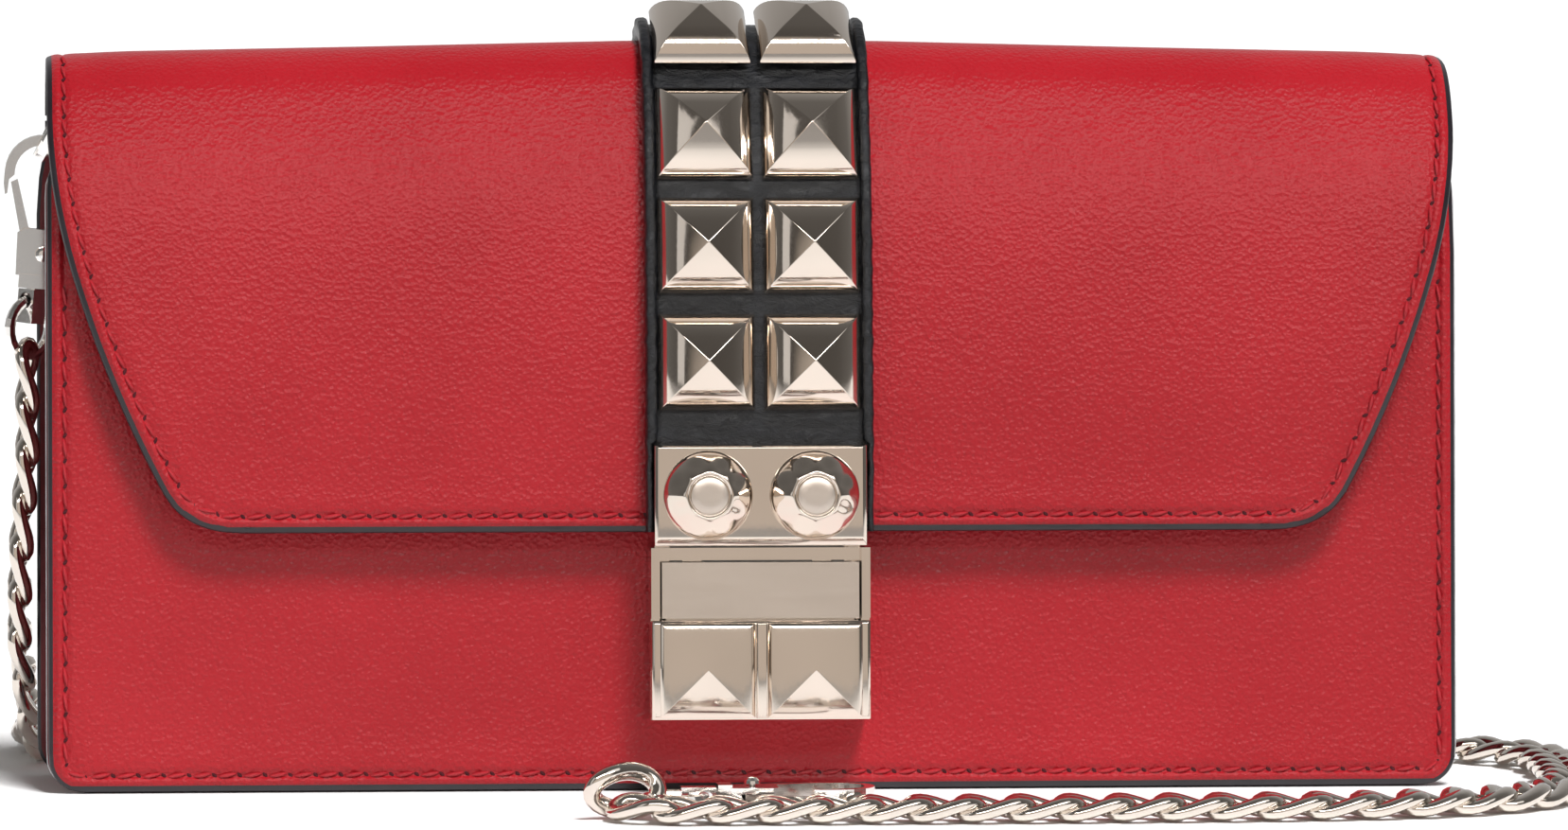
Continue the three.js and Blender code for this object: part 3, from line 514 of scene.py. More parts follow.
def flap_line(per_stretch=8, arc_steps=24):
    """The flap's outer surface in (y, z, tilt, distance), from its front edge over the top."""
    y = -HALF_D + FLAP_START_T * math.sin(LEAN) - FLAP_OUT * math.cos(LEAN)
    z = FLAP_START_T * math.cos(LEAN) + FLAP_OUT * math.sin(LEAN)
    tilt, s = LEAN, 0.0
    line = [(y, z, tilt, s)]
    radius = None
    spans = [(length, math.radians(end), per_stretch) for length, end in FLAP_STRETCHES]
    while spans:
        length, end, steps = spans.pop(0)
        start = tilt
        for i in range(steps):
            middle = start + (end - start) * (i + 0.5) / steps
            y += math.sin(middle) * length / steps
            z += math.cos(middle) * length / steps
            s += length / steps
            tilt = start + (end - start) * (i + 1) / steps
            line.append((y, z, tilt, s))
        if not spans and radius is None:
            radius = (HALF_D - y) / (1 + math.cos(tilt))
            spans.append((radius * (math.pi - tilt), math.pi, arc_steps))
    return np.array(line)


FLAP_LINE = flap_line()
FLAP_END = float(FLAP_LINE[-1, 3])
CROWN_DROP = [(0, 0), (16, 0), (88, 1.7), (98, 2.5)]  # by distance from the middle
CROWN_Z = (86, 101)  # the drop grows between these heights, and halves towards the back
CROWN_Y = (3, 10)


def station(s):
    """(y, z, tilt) at a distance along the flap's outer surface; it runs on down the back."""
    if s > FLAP_END:
        return HALF_D, FLAP_LINE[-1, 1] - (s - FLAP_END), math.pi
    return tuple(float(np.interp(s, FLAP_LINE[:, 3], FLAP_LINE[:, k])) for k in range(3))


def flap_point(x, s, n):
    """A point at height n over the flap's outer surface. The crown is lower near its ends."""
    y, z, tilt = station(s)
    drop = (ramp(abs(x), CROWN_DROP) * smoothstep(*CROWN_Z, z)
            * (1 - 0.5 * smoothstep(*CROWN_Y, y)))
    return x, y - math.cos(tilt) * n, z + math.sin(tilt) * n - drop


def panel_point(x, t, n):
    """A point in the leaning front panel's own frame."""
    return (x, -HALF_D + t * math.sin(LEAN) - n * math.cos(LEAN),
            t * math.cos(LEAN) + n * math.sin(LEAN))


def front_point(x, z, n):
    """A point at height n over the front panel, which bends back near its top."""
    y = -HALF_D + z * math.tan(LEAN)
    y += max(0.0, z - FRONT_BEND) * (math.tan(FRONT_TOP_TILT) - math.tan(LEAN))
    return x, y - n, z


EDGE_STEPS = [0, 0.35, 0.8, 1.25, 1.65, 2.0, 2.3, 2.7, 3.6, 5.4, 8]


def stations_between(start, end, coarse, count=None):
    """Values from start to end, closer together near the ends. count is of the middle steps."""
    low = [start + d for d in EDGE_STEPS]
    high = [end - d for d in reversed(EDGE_STEPS)]
    count = count or max(1, round((high[0] - low[-1]) / coarse))
    middle = [low[-1] + (high[0] - low[-1]) * i / count for i in range(1, count)]
    return low + middle + high


def to_border(point, border):
    """Distance from a flat point to a broken line, and the direction away from it."""
    p = np.array(point)
    a, b = border[:-1], border[1:]
    d = b - a
    t = np.clip(((p - a) * d).sum(1) / np.maximum((d * d).sum(1), 1e-9), 0, 1)
    away = p - (a + d * t[:, None])
    distances = np.linalg.norm(away, axis=1)
    nearest = int(np.argmin(distances))
    return float(distances[nearest]), Vector(away[nearest] / max(distances[nearest], 1e-6))


def leather_sheet(name, rows, half_width, thickness, point, materials, relief=None,
                  bevel=0.6, border=None, coarse=5.0, low_bevel=1.0):
    """A closed sheet of leather with rounded, painted edges.

    rows are distances up the sheet, half_width(row) its half width there, and
    point(x, row, n) puts a flat point at height n in space. relief(x, row, d) is
    how far the outer face stands up, d being the distance from the border."""
    columns = max(1, round((2 * HALF_W - 2 * EDGE_STEPS[-1]) / coarse))
    grid = [stations_between(-half_width(row), half_width(row), coarse, columns) for row in rows]
    m, n = len(rows), len(grid[0])
    loop = ([(0, j) for j in range(n)] + [(i, n - 1) for i in range(1, m)]
            + [(m - 1, j) for j in range(n - 2, -1, -1)] + [(i, 0) for i in range(m - 2, 0, -1)])
    flat = {(i, j): Vector((grid[i][j], rows[i])) for i in range(m) for j in range(n)}
    outward = {}
    for k, key in enumerate(loop):
        tangent = flat[loop[(k + 1) % len(loop)]] - flat[loop[k - 1]]
        outward[key] = Vector((tangent.y, -tangent.x)).normalized()
    edge = np.array([tuple(flat[k]) for k in loop + loop[:1]]) if border is None else border
    verts, faces, picks = [], [], []
    index = {}

    def add(key, side, inset, height, inward=None):
        q = flat[key] + (-outward[key] if inward is None else inward) * inset
        index[key, side] = len(verts)
        verts.append(point(q.x, q.y, height))

    on_loop = set(loop)
    for i in range(m):
        for j in range(n):
            key = (i, j)
            d, inward = to_border(tuple(flat[key]), edge)
            low_side = low_bevel if inward.y > 0.7 or i == 0 else 1
            if key in on_loop:
                d, inward = 0, -outward[key]
            # the band beside the painted edge is squeezed to make room for it
            inset = bevel * low_side * max(0, 1 - d / 2)
            high = relief(flat[key].x, flat[key].y, d + inset) if relief else 0
            add(key, "top", inset, high, inward)
            add(key, "bottom", inset * 0.8, -thickness, inward)
    for i in range(m - 1):
        for j in range(n - 1):
            keys = [(i, j), (i, j + 1), (i + 1, j + 1), (i + 1, j)]
            faces.append(tuple(index[k, "top"] for k in keys))
            faces.append(tuple(index[k, "bottom"] for k in reversed(keys)))
            picks.extend([0, 2 if len(materials) > 2 else 0])
    # the rounded edge, from the outer face down to the inner one
    depth = min(bevel, thickness / 2)
    edge_rings = [(bevel * 0.3, -depth * 0.35), (0, -depth * 0.9),
                  (0, -thickness + depth * 0.6), (bevel * 0.25, -thickness + depth * 0.15)]
    for number, (inset, height) in enumerate(edge_rings):
        for key in loop:
            add(key, number, inset, height)
    rings = ["top", *range(len(edge_rings)), "bottom"]
    for a, b in zip(rings, rings[1:]):
        for k, key in enumerate(loop):
            after = loop[(k + 1) % len(loop)]
            faces.append((index[key, a], index[key, b], index[after, b], index[after, a]))
            picks.append(1)
    return piece(name, verts, faces, materials, picks)


def corner_width(half, low, high, radius):
    """Half width of a rectangle with round corners at a height."""
    def width(z):
        d = min(z - low, high - z)
        if d >= radius:
            return half
        return half - radius + math.sqrt(max(0.0, radius * radius - (radius - d) ** 2))
    return width


SEAM_INSET = 2.3
PUFF = [(0, -0.2), (0.7, -0.14), (1.0, 0.14), (1.45, 0.32), (1.9, 0.18), (2.3, -0.2),
        (2.7, 0.1), (3.5, 0.22), (5.2, 0.08), (8, 0)]


def puffed(x, row, d):
    """The rolled border outside the seam, and the seam's groove."""
    uneven = 0.05 * math.sin(x * 1.9 + row * 0.3) * math.sin(row * 1.9 + x * 0.2)
    return ramp(d, PUFF) + uneven * (1 - smoothstep(2, 5, d))


def seam(parts, line, point, pitch=3.45, slant=0.5, height=0.02):
    """Saddle stitches along a flat line: slanted threads between slanted holes, the holes being
    dark marks of painted shade.
    """
    line = Route([(x, z, 0) for x, z in line])
    count = int(line.length / pitch)
    for i in range(count):
        s = (i + 0.5) * line.length / count
        middle, along = line(s), line.along(s, 0.6)
        across = Vector((-along.y, along.x, 0))
        half = pitch * 0.42
        ends = [middle - along * half - across * slant * 0.5,
                middle + along * half + across * slant * 0.5]
        flat = [ends[0].lerp(ends[1], k / 6) for k in range(7)]
        lift = [-0.3, 0.0, 0.12, 0.16, 0.12, 0.0, -0.3]
        pts = [point(q.x, q.y, height + h) for q, h in zip(flat, lift)]
        parts.add(*tube(pts, [0.1, 0.2, 0.27, 0.29, 0.27, 0.2, 0.1], 6))
        # each hole is a dark mark sunk a little into the leather: painted shade in the hole
        hole = middle + along * pitch / 2
        tips = [hole + (along * 0.42 - across * 0.5) * k for k in (-1, -0.5, 0, 0.5, 1)]
        pts = [point(q.x, q.y, height - 0.1) for q in tips]
        parts.add(*tube(pts, [0.04, 0.18, 0.26, 0.18, 0.04], 6), pick=1)


def stitch(name, border, point, body):
    """The seam beside a border, as a piece of its own."""
    parts = Parts()
    seam(parts, inset_line(border, SEAM_INSET), point)
    place(parts.build(name, [THREAD, HOLE_SHADE]), body)


def inset_line(border, inset):
    """A broken line moved to its left by inset."""
    pts = [Vector(p) for p in border]
    made = []
    for i, p in enumerate(pts):
        tangent = (pts[min(i + 1, len(pts) - 1)] - pts[max(i - 1, 0)]).normalized()
        made.append((p.x - tangent.y * inset, p.y + tangent.x * inset))
    return made


def rounded_border(half, low, high, radius, steps=8):
    """Left side, bottom and right side of a panel, anticlockwise."""
    left = [(-half, high), (-half, low + radius)]
    corner = [(-half + radius - radius * math.cos(a), low + radius - radius * math.sin(a))
              for a in (math.pi / 2 * k / steps for k in range(1, steps))]
    other = [(-x, z) for x, z in reversed(corner)]
    return left + corner + [(-half + radius, low), (half - radius, low)] + other + [
        (half, low + radius), (half, high)]


def make_panels():
    low = 0.2
    width = corner_width(HALF_W, low, FRONT_HEIGHT, CORNER_R)
    rows = stations_between(low, FRONT_HEIGHT, 5.0)
    rows[rows.index(min(rows, key=lambda r: abs(r - FRONT_BEND)))] = FRONT_BEND
    front = leather_sheet("front_panel_leather", rows, width, LEATHER, front_point,
                          CALF, puffed, low_bevel=1.5)
    place(front, "wallet", ["front_panel"])

    stitch("front_panel_stitches", rounded_border(HALF_W, low, 70, CORNER_R), front_point,
           "wallet")

    # a second layer behind the front panel's edge; its pale grey edge paint is a painted
    # highlight, standing for the shine along a glossy black edge
    width = corner_width(HALF_W + 0.32, low + 0.25, FRONT_HEIGHT - 1, CORNER_R)
    rows = stations_between(low + 0.25, FRONT_HEIGHT - 1, 6.0)
    layer = leather_sheet("front_panel_backing", rows, width, 0.5,
                          lambda x, z, n: front_point(x, z, n - LEATHER - 0.02),
                          [RED_LINING, PALE_EDGE_HIGHLIGHT], bevel=0.15)
    place(layer, "wallet")


FOLD_STRIP_Z = 80.5  # the lower edge of the leather over the fold


def back_point(x, z, n):
    return x, HALF_D + n, z


def make_back():
    """The back panel, which runs over the fold and meets the flap."""
    width = corner_width(BACK_HALF_W, 0, 400, CORNER_R)

    def half_width(row):
        # the panel narrows to the flap's width at the fold
        if row < 80:
            return width(row)
        return BACK_HALF_W - (BACK_HALF_W - HALF_W) * smoothstep(80, 90, row)
    rows = stations_between(0, BACK_HEIGHT - 0.3, 5.0)
    panel = leather_sheet("back_panel_leather", rows, half_width, LEATHER,
                          back_point, CALF,
                          lambda x, z, d: puffed(x, z, d) if z < 60 else 0.0)
    place(panel, "wallet", ["back_panel"])
    stitch("back_panel_stitches", rounded_border(BACK_HALF_W, 0, 86, CORNER_R), back_point,
           "wallet")

    # the leather over the fold, from the back panel to the flap
    rows = np.linspace(FOLD_STRIP_Z, FLAP_LINE[-1, 1] + 5.5, 16)
    fold = leather_sheet("fold_leather", list(rows), lambda r: HALF_W - 0.4, 0.5,
                         fold_point, CALF, bevel=0.15)
    bend_at_fold(fold)


def bend_at_fold(obj):
    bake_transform(obj)


def fold_point(x, row, n):
    """Up the back panel's outer face, then on over the crown's back."""
    s = FLAP_END - (row - FLAP_LINE[-1, 1])
    lift = 0.28 * smoothstep(FOLD_STRIP_Z, 84, row)
    if row <= FLAP_LINE[-1, 1]:
        return x, HALF_D + 0.25 + lift + n, row
    return flap_point(x, s, n + 0.25 + lift * (1 - smoothstep(94, 98, row)))


# ---------- flap

def flap_border():
    """The flap's outline in (x, z), from the left top down and round to the right top."""
    def bend(a, b, c, steps=10):
        a, b, c = Vector(a), Vector(b), Vector(c)
        return [tuple(a * (1 - t) ** 2 + b * 2 * t * (1 - t) + c * t * t)
                for t in (k / steps for k in range(steps + 1))]
    right = bend((71, FLAP_FOOT_Z), (78.9, FLAP_FOOT_Z), (81.9, 41.6))[:-1]
    right += bend((81.9, 41.6), (88.7, 54.4), (92.9, 67.5))[:-1]
    right += bend((92.9, 67.5), (HALF_W, 81), (HALF_W, 94))
    left = [(-x, z) for x, z in reversed(right)]
    return left, right


def height_to_distance(z):
    front = FLAP_LINE[:int(np.argmax(FLAP_LINE[:, 1]))]
    return float(np.interp(z, front[:, 1], front[:, 3]))


FLAP_LEFT, FLAP_RIGHT = flap_border()


def flap_half_width(s):
    # the flap has its full width well before the crown
    return HALF_W if s > 58 else ramp(station(s)[1], [(b, a) for a, b in FLAP_RIGHT])


SEAM_TOP = 73  # how far up the flap its side seams run


def make_flap():
    foot = height_to_distance(FLAP_FOOT_Z)
    # close rows along the foot, where the border rolls
    rows = [foot + d for d in (0, 0.12, 0.3, 0.55, 0.9, 1.25, 1.65, 2.0, 2.3, 2.7, 3.5, 5.2, 7)]
    rows += [foot + 7 + 3.2 * k for k in range(1, 16)]
    rows += list(np.linspace(rows[-1] + 2, FLAP_END, 22))
    outline = [(x, height_to_distance(z)) for x, z in FLAP_LEFT + FLAP_RIGHT]
    border = np.array([(-HALF_W, FLAP_END + 8), *outline, (HALF_W, FLAP_END + 8)])

    def relief(x, s, d):
        return puffed(x, s, d) * (1 - 0.6 * smoothstep(64, 74, s))
    leather_piece = leather_sheet("flap_outer_leather", rows, flap_half_width, FLAP_LEATHER,
                                  flap_point, CALF, relief,
                                  bevel=0.75, border=border, coarse=4.0, low_bevel=1.15)
    place(leather_piece, "flap", ["flap_leather"])

    stitch("flap_stitches", [(-HALF_W, SEAM_TOP), *outline, (HALF_W, SEAM_TOP)], flap_point,
           "flap")

    # the lining has a thin layer between it and the outer leather, whose pale grey edge is a
    # painted highlight along a glossy black edge
    rows = [r + 0.1 for r in rows[:-1]] + [rows[-1]]
    for name, drop, thick, extra, materials, nodes in [
        ("flap_edge_highlight_line", FLAP_LEATHER + 0.02, 0.22, 0.02, [RED_LINING, PALE_EDGE_HIGHLIGHT], []),
        ("flap_lining_leather", FLAP_LEATHER + GAP, FLAP_LINING, 0.12,
         [RED_LINING, BLACK_EDGE], ["flap_lining"]),
    ]:
        made = leather_sheet(name, rows, lambda s, e=extra: flap_half_width(s) + e - 0.1, thick,
                             lambda x, s, n, d=drop: flap_point(x, s, n - d), materials,
                             bevel=0.08 if thick < 0.3 else 0.3, border=border, coarse=6.0)
        place(made, "flap", nodes)


def strap_section(beside):
    """The strap's cross-section: raised, rounded edges and a slightly sunk middle.
    The edges are narrower where they run beside the lock's upper plate."""
    h = STRAP_MIDDLE
    top = h + 0.95
    side = [
        (15.25, 0.0), (15.6, 0.35), (15.6, top - 0.6), (15.48, top - 0.2),
        (15.2 + beside, top), (14.6 + beside * 2, top + 0.03), (14.25 + beside * 2.3, top - 0.15),
        (14.1 + beside * 2.7, (top + h) / 2), (14.02 + beside * 2.9, h), (13.2, h),
        (9, h - 0.05), (4, h - 0.08),
    ]
    return side + [(0, h - 0.08)] + [(-x, n) for x, n in reversed(side)]


def make_strap():
    """The black strap over the flap, its piece over the fold, and its tail on the back."""
    plate_top = PLATE_T[1] - FLAP_START_T
    end = float(FLAP_END) - 5
    low = list(np.linspace(0.1, plate_top + 0.15, 8))
    tail_end = FLAP_END + 30
    for name, values in [("strap_leather", low + list(np.linspace(plate_top + 0.6, end, 60))),
                         ("strap_fold_leather", np.linspace(end, tail_end, 34))]:
        sections = []
        for s in values:
            section = strap_section(0.25 * (1 - smoothstep(plate_top + 0.15, plate_top + 0.6, s)))
            # the edges are a little uneven, and the tail's end is rounded off
            wobble = 0.12 * math.sin(s * 0.9) + 0.07 * math.sin(s * 2.3 + 1)
            down = smoothstep(tail_end - 1, tail_end, s) * 1.2
            base = GAP + 0.35 + (0.3 if s > FLAP_END - 8 else 0)
            points = []
            for x, n in section:
                near_edge = 1 if abs(x) > 13.6 else 0
                x += math.copysign(wobble * near_edge, x) - math.copysign(down, x)
                points.append(flap_point(x, s, base + n * (1 - 0.3 * (down > 0.5))))
            sections.append(points)
        made = skin(name, sections, [BLACK_LEATHER])
        if name == "strap_leather":
            place(made, "flap", ["strap"])
        else:
            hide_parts("strap_tail")
            bend_at_fold(made)


# ---------- studs

STUD_CURVE = [(1, 0.05), (0.985, 0.11), (0.95, 0.21), (0.89, 0.335), (0.82, 0.44), (0.74, 0.535),
              (0.66, 0.61), (0.58, 0.675), (0.5, 0.73), (0.28, 0.85), (0.02, 0.99)]
PILLOW_CURVE = [(1, 0.04), (0.975, 0.17), (0.93, 0.28), (0.86, 0.37), (0.75, 0.47), (0.62, 0.57),
                (0.48, 0.67), (0.34, 0.77), (0.2, 0.86), (0.1, 0.925)]


def stud(width, height, curve):
    """A square stud of four curved faces, as local (across, up, out) points."""
    half = width / 2
    verts = [(a * half, b * half, 0.0) for a, b in CORNERS]
    for r, h in curve:
        verts += [(a * half * r, b * half * r, height * h) for a, b in CORNERS]
    verts.append((0, 0, height))
    top = len(verts) - 1
    faces = ring_faces(len(curve) + 1, 4) + [(3, 2, 1, 0)]
    faces += [(top - 4 + j, top - 4 + (j + 1) % 4, top) for j in range(4)]
    return verts, faces


CORNERS = [(-1, -1), (1, -1), (1, 1), (-1, 1)]


def make_studs():
    verts, faces = stud(13.3, 5.6, STUD_CURVE)
    lift = 2 * GAP + STRAP_MIDDLE
    for index, s in enumerate(STUD_ROWS):
        y, z, tilt = station(s)
        up = Vector((0, math.sin(tilt), math.cos(tilt)))
        out = Vector((0, -math.cos(tilt), math.sin(tilt)))
        for word, side in SIDES:
            middle = Vector((side * STUD_COLUMN_X, y, z)) + out * lift
            placed = [middle + Vector((u, 0, 0)) + up * v + out * w for u, v, w in verts]
            name = f"{word}_{len(STUD_ROWS) - index}"
            made = piece("pyramid_" + name, placed, faces, [NICKEL])
            rounded(made, 0.13, 3, 30)
            place(made, "flap", ["stud_" + name])


# ---------- lock

def panel_lathe(profile, sides, x, t):
    """A solid of revolution along the panel's normal; heights are n."""
    origin = Vector(panel_point(x, t, 0))
    axis = Vector(panel_point(x, t, 1)) - origin
    return lathe(profile, sides, origin, axis, (1, 0, 0))


def make_domes():
    seat = 9.1
    sides = 96
    petals = 8

    def petal(radius, height, depth):
        return radius, lambda a: seat + height - depth * (0.5 - 0.5 * math.cos(petals * a))
    profile = [
        (0.01, 0.5), (2.0, 0.5), (2.0, 1.1), (1.2, 1.25), (1.2, 2.35), (2.0, 2.5), (2.0, seat),
        (6.0, seat), (6.15, seat + 0.1), (6.14, seat + 0.4), (5.98, seat + 0.75),
        petal(5.65, 1.17, 0.03), petal(5.2, 1.68, 0.12), petal(4.7, 2.22, 0.24),
        petal(4.2, 2.72, 0.3), petal(3.75, 3.1, 0.26), petal(3.4, 3.33, 0.14),
        (3.15, seat + 3.42), (2.98, seat + 3.4), (2.84, seat + 3.1), (2.66, seat + 3.1),
        (2.58, seat + 3.32), (2.46, seat + 3.42), (1.2, seat + 3.44), (0.01, seat + 3.44),
    ]
    satin_from = 21
    for word, side in SIDES:
        verts, faces = panel_lathe(profile, sides, side * DOME_X, DOME_T)
        picks = [1 if i // sides >= satin_from and i < (len(profile) - 1) * sides else 0
                 for i in range(len(faces))]
        picks[-1] = 1
        made = piece("flower_dome_" + word, verts, faces, [NICKEL, NICKEL_SATIN_DISC], picks)
        place(made, "flap", ["dome_" + word])


def frustum(x, t, n, inset):
    """A plate between ranges x, t and n whose front edges are cut back by
    inset = (left, right, bottom, top), as vertices and faces."""
    (x0, x1), (t0, t1), (n0, n1, n2) = x, t, n
    full = (0, 0, 0, 0)
    verts = []
    for height, (left, right, bottom, top) in [(n0, full), (n1, full), (n2, inset)]:
        across, up = (x0 + left, x1 - right), (t0 + bottom, t1 - top)
        verts += [panel_point(across[i], up[j], height)
                  for i, j in ((0, 0), (1, 0), (1, 1), (0, 1))]
    faces = ring_faces(3, 4) + [(3, 2, 1, 0), (8, 9, 10, 11)]
    return verts, faces


def make_lock():
    plate = piece("lock_upper_plate_cut", *frustum(
        (-14.65, 14.65), PLATE_T, (6.9, 8.3, 8.8), (0.5, 0.6, 1.1, 0.3)), [NICKEL])
    rounded(plate, 0.12, 2, 15)
    place(plate, "flap", ["lock_upper_plate"])

    cover = piece("lock_lower_plate_rim", *frustum(
        (-15.1, 15.1), (LOCK_T0, COVER_T1), (7.2, 8.5, 8.8), (0.45, 0.45, 0.35, 0.35)), [NICKEL])
    rounded(cover, 0.15, 2, 15)
    verts, faces = stud(13.05, 1.55, PILLOW_CURVE)
    middle_t = (LOCK_T0 + COVER_T1) / 2
    for word, side in SIDES:
        placed = [panel_point(side * 7.42 + u, middle_t + v, 8.72 + w) for u, v, w in verts]
        pillow = piece("lock_pillow_" + word, placed, faces, [NICKEL])
        rounded(pillow, 0.05, 2, 12)
        place(pillow, "wallet")
    bar = piece("lock_middle_bar", *frustum((-0.75, 0.75), (LOCK_T0 + 0.25, COVER_T1 - 0.25),
                                            (8.5, 9.9, 10.1), (0.15, 0.15, 0.15, 0.15)), [NICKEL])
    rounded(bar, 0.08, 2, 15)
    place(bar, "wallet")
    place(cover, "wallet", ["lock_lower_plate"])
    # the posts behind the plate, for the screws
    parts = Parts()
    for side in (-1, 1):
        parts.add(*panel_lathe([(0.9, 1.4), (1.7, 1.4), (1.7, 7.3), (0.9, 7.3)], 20,
                               side * 11.7, 15))
    place(parts.build("lock_posts", [NICKEL]), "wallet")
    for name, width in [("lock_base", 0.12), ("push_bar", 0.14), ("latch_slide", 0.1),
                        ("lock_back_plate", 0.15), ("lock_screw_left", 0.1),
                        ("lock_screw_right", 0.1)]:
        rounded(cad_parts[name], width, 2)


# ---------- rings and hooks

def make_ring_tabs():
    """Leather strips that come up from the gussets and loop round the D-rings' bars."""
    y0, y1 = 3.1, 9.1
    for word, side in SIDES:
        cx, cz = side * 94.4, 94.6
        strip_x = side * 91.05
        path = [(strip_x, 73.4), (strip_x, 80), (strip_x, 86), (strip_x + side * 0.05, 90)]
        path += [(strip_x + side * 0.35, 92.6)]
        loop_r, start = 2.15, -2.5
        path += [(cx - side * loop_r * math.cos(math.radians(start + a)),
                  cz + loop_r * math.sin(math.radians(start + a))) for a in range(0, 320, 12)]
        line = Route([(x, z, 0) for x, z in path])
        sections = []
        for s in np.linspace(0, line.length, 60):
            p, d = line(s), line.along(s, 0.5)
            out = Vector((-d.y, d.x, 0))
            spots = [(p + out * k, y) for k, y in [
                (-0.5, y0 + 0.25), (-0.25, y0), (0.25, y0), (0.5, y0 + 0.25),
                (0.5, y1 - 0.25), (0.25, y1), (-0.25, y1), (-0.5, y1 - 0.25)]]
            sections.append([(q.x, y, q.y) for q, y in spots])
        made = skin("ring_tab_leather_" + word, sections, [RED])
        place(made, "wallet", ["ring_tab_" + word])


def make_hooks():
    for number in (1, 2):
        for part, width in [("body", 0.55), ("gate", 0.18), ("swivel", 0.35)]:
            rounded(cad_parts[f"hook{number}_{part}"], width, 3, 28)
        rounded(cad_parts[f"hook{number}_rivet"], 0.1, 2)
    for word in ("left", "right"):
        rounded(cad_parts["d_ring_" + word], 0.2, 2, 25)


# ---------- interior

def flat_sheet(name, half, low, high, y, thickness, materials, radius=3.0, wave=0.15):
    """A flat leather panel inside the wallet, with a slight wave."""
    width = corner_width(half, low, high, radius)

    def point(x, z, n):
        return x, y - n + wave * math.sin(x * 0.045 + z * 0.02) * math.sin(z * 0.05), z
    return leather_sheet(name, stations_between(low, high, 8), width, thickness, point,
                         materials, bevel=min(0.25, thickness / 3), coarse=9)


def make_interior():
    lining = [RED_LINING, BLACK_EDGE, RED_LINING]
    for name, half, low, high, y, nodes in [
        ("pocket_front_leather", 86, 2.2, 74, 2.6, ["zip_pocket_front"]),
        ("pocket_back_leather", 86, 2.2, 74, 7.7, ["zip_pocket_back"]),
        ("card_leather_1", 80, 3, 56, 9.1, ["card_panel_1"]),
        ("card_leather_2", 80, 3, 64, 10.2, ["card_panel_2"]),
        ("card_leather_3", 80, 3, 72, 11.3, ["card_panel_3"]),
    ]:
        made = flat_sheet(name, half, low, high, y, 0.8, lining, wave=0.06)
        place(made, "wallet", nodes)

    # level strips: the floor of the body and of the pocket
    for name, half, y, z, thick, nodes in [
        ("base_leather", 92.6, (-12.1, 12.1), 1.4, 1.4, ["base_strip"]),
        ("pocket_floor_leather", 85.8, (3.75, 7.35), 3.0, 0.8, ["zip_pocket_base"]),
    ]:
        section = [(y[0] + 0.3, 0), (y[0], -0.3), (y[0], -thick + 0.3), (y[0] + 0.3, -thick),
                   (y[1] - 0.3, -thick), (y[1], -thick + 0.3), (y[1], -0.3), (y[1] - 0.3, 0)]
        sections = [[(x, y_at, z + up) for y_at, up in section]
                    for x in np.linspace(-half, half, 40)]
        place(skin(name, sections, [RED_LINING]), "wallet", nodes)

    # the gussets, each with one soft fold from front to back
    for word, side in SIDES:
        sections = []
        for z in np.linspace(1.8, 81.8, 30):
            front = -11.9 + z * math.tan(LEAN)
            front += max(0, z - FRONT_BEND) * (math.tan(FRONT_TOP_TILT) - math.tan(LEAN))
            line = [(front + (12.0 - front) * k / 16,
                     side * (GUSSET_X + 0.45 + 0.5 * math.cos(math.pi * (k / 8 - 1))))
                    for k in range(17)]
            sections.append([(x - side * 0.35, y, z) for y, x in line]
                            + [(x + side * 0.35, y, z) for y, x in reversed(line)])
        made = skin("gusset_leather_" + word, sections, [RED_LINING])
        place(made, "wallet", ["side_gusset_" + word])


def make_zip():
    section = [(2.6, 74.35), (2.6, 74.85), (4.6, 74.9), (4.75, 75.15), (6.35, 75.15),
               (6.5, 74.9), (8.5, 74.85), (8.5, 74.35)]
    tape = skin("zip_tape_woven", [[(x, y, z) for y, z in section]
                                   for x in np.linspace(-86, 86, 90)], [ZIP_TAPE])
    place(tape, "wallet", ["zip_tape"])
    # teeth on either side of the zip's middle line, by turns
    parts = Parts()
    count, half_run, middle_y = 108, 80, 5.55
    for i in range(count):
        x = -half_run + 2 * half_run * (i + 0.5) / count
        side = 1 if i % 2 else -1
        inner, outer = middle_y - side * 0.35, middle_y + side * 0.8
        low, high = min(inner, outer), max(inner, outer)
        corners = [(x + a * 0.55, b, c) for c in (75.2, 76.35)
                   for a, b in ((-1, low), (1, low), (1, high), (-1, high))]
        parts.add(corners, [(3, 2, 1, 0), (4, 5, 6, 7), (0, 1, 5, 4), (1, 2, 6, 5), (2, 3, 7, 6),
                            (3, 0, 4, 7)])
    teeth = parts.build("zip_teeth_single", [NICKEL], smooth=False)
    rounded(teeth, 0.12, 2)
    place(teeth, "wallet", ["zip_teeth"])
    rounded(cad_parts["zip_slider"], 0.3, 3)
    rounded(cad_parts["zip_puller"], 0.2, 3)


# ---------- carried-over CAD nodes

def paint_nodes():
    finishes = {
        STEEL: ["latch_slide", "latch_spring_left", "latch_spring_right", "lock_back_plate",
                "lock_screw_left", "lock_screw_right"],
        SATIN: ["push_bar"],
        NICKEL: ["lock_base", "zip_slider", "zip_puller"],
        HOOK_METAL: ["d_ring_left", "d_ring_right"],
    }
    finishes[HOOK_METAL] += [f"hook{n}_{part}" for n in (1, 2)
                         for part in ("body", "gate", "rivet", "swivel", "ring")]
    for material, names in finishes.items():
        for name in names:
            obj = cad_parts[name]
            if not obj.data.materials:
                obj.data.materials.append(material)
            for one in obj.material_slots:
                one.link = "OBJECT"
                one.material = material


# ---------- studio

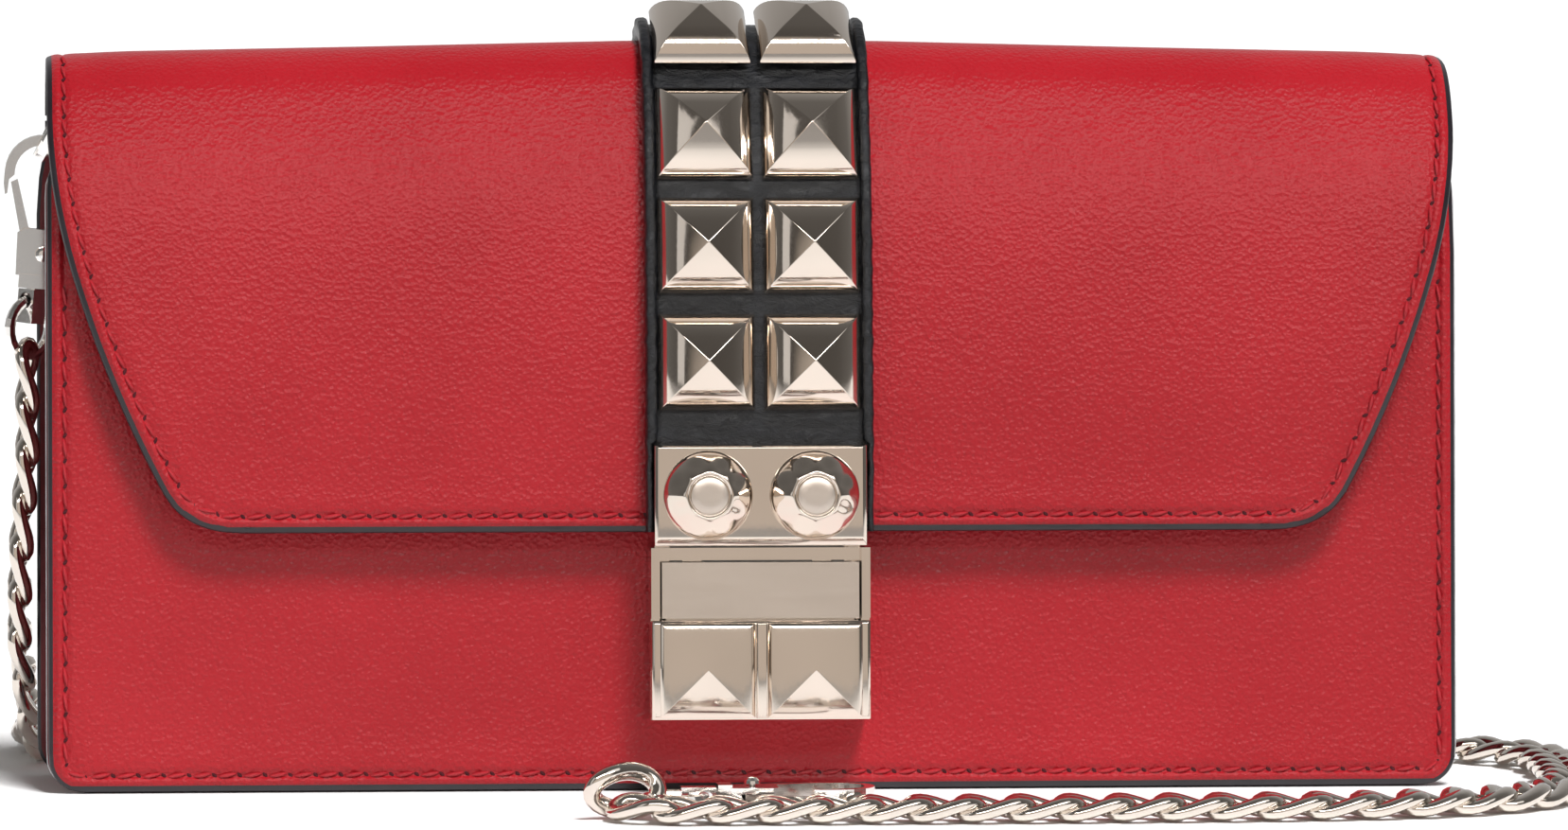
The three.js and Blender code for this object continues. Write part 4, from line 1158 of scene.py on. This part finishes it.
# Light directions and places are in metres; a larger area makes a softer light.
AREA_LIGHTS = [
    ("key", (0.8, -1.0, 1.0), (0, 0, 0.04), (0.8, 0.8), 1.8),
    ("fill", (-1.1, -0.8, 0.5), (0, 0, 0.05), (0.35, 0.9), 0.6),
    ("strip", (0.1, -1.6, 1.15), (0, 0, 0.09), (2.6, 0.2), 20.0),
]
SUN_STRENGTH = 4.1
SUN_ANGLE = math.radians(16)
SUN_DIRECTION = (-0.2, 0.45, -0.87)
# where the floor's painted shade in front of the object fades into its plain pale colour
FLOOR_SHADE_Y = (-0.6, -0.12)
# The world's colour from the front (0) to the back (1)
SKY = [
    (0.0, (0.62, 0.55, 0.49, 1)), (0.09, (0.58, 0.52, 0.46, 1)), (0.15, (0.08, 0.075, 0.07, 1)),
    (0.5, (0.15, 0.147, 0.143, 1)), (1.0, (0.5, 0.5, 0.5, 1)),
]


def make_light(name, kind, power, direction):
    data = bpy.data.lights.new(name, kind)
    data.energy = power
    light = bpy.data.objects.new(name, data)
    scene.collection.objects.link(light)
    light.rotation_mode = "QUATERNION"
    light.rotation_quaternion = direction.to_track_quat("-Z", "Y")
    return light


def make_studio():
    floor_finish, tree, shader, coords = finish_material("floor", (0.86, 0.865, 0.87), 0.7,
                                                         Specular_IOR_Level=0.15)
    # painted shade: the floor's colour is darker in front of the object than round it, as where
    # studio light falls off, which also darkens the floor's reflections in the metal and the light
    # it throws back
    tone = blend_colors(tree, along_y(tree, coords, *FLOOR_SHADE_Y), (0.26, 0.26, 0.26),
                        (0.87, 0.873, 0.876), 0.0, 1.0)
    connect(tree, shader, Base_Color=tone)
    verts = [(-9000, -6000, 0), (9000, -6000, 0), (9000, 9000, 0), (-9000, 9000, 0)]
    floor = piece("floor", verts, [(0, 1, 2, 3)], [floor_finish])

    world = bpy.data.worlds.new("studio")
    world.use_nodes = True
    scene.world = world
    tree = world.node_tree
    back = tree.nodes["Background"]
    coords = node(tree, "ShaderNodeTexCoord").outputs["Generated"]
    tone = node(tree, "ShaderNodeValToRGB")
    stops = tone.color_ramp.elements
    stops[0].color, stops[1].color = SKY[0][1], SKY[-1][1]
    for position, color in SKY[1:-1]:
        stops.new(position).color = color
    tree.links.new(along_y(tree, coords, -1, 1), tone.inputs["Fac"])
    tree.links.new(tone.outputs["Color"], back.inputs["Color"])

    for name, at, aim, size, power in AREA_LIGHTS:
        light = make_light(name, "AREA", power, Vector(aim) - Vector(at))
        light.data.shape = "RECTANGLE"
        light.data.size, light.data.size_y = size
        light.location = at
        # the strip shows only as a long highlight on glossy surfaces
        light.visible_diffuse = name != "strip"
    overhead = make_light("overhead", "SUN", SUN_STRENGTH, Vector(SUN_DIRECTION))
    overhead.data.angle = SUN_ANGLE
    overhead.visible_glossy = False
    scene.view_settings.view_transform = "Standard"


make_camera()
make_chain()
make_panels()
make_back()
make_flap()
make_strap()
make_studs()
make_domes()
make_lock()
make_ring_tabs()
make_hooks()
make_interior()
make_zip()
paint_nodes()
make_studio()
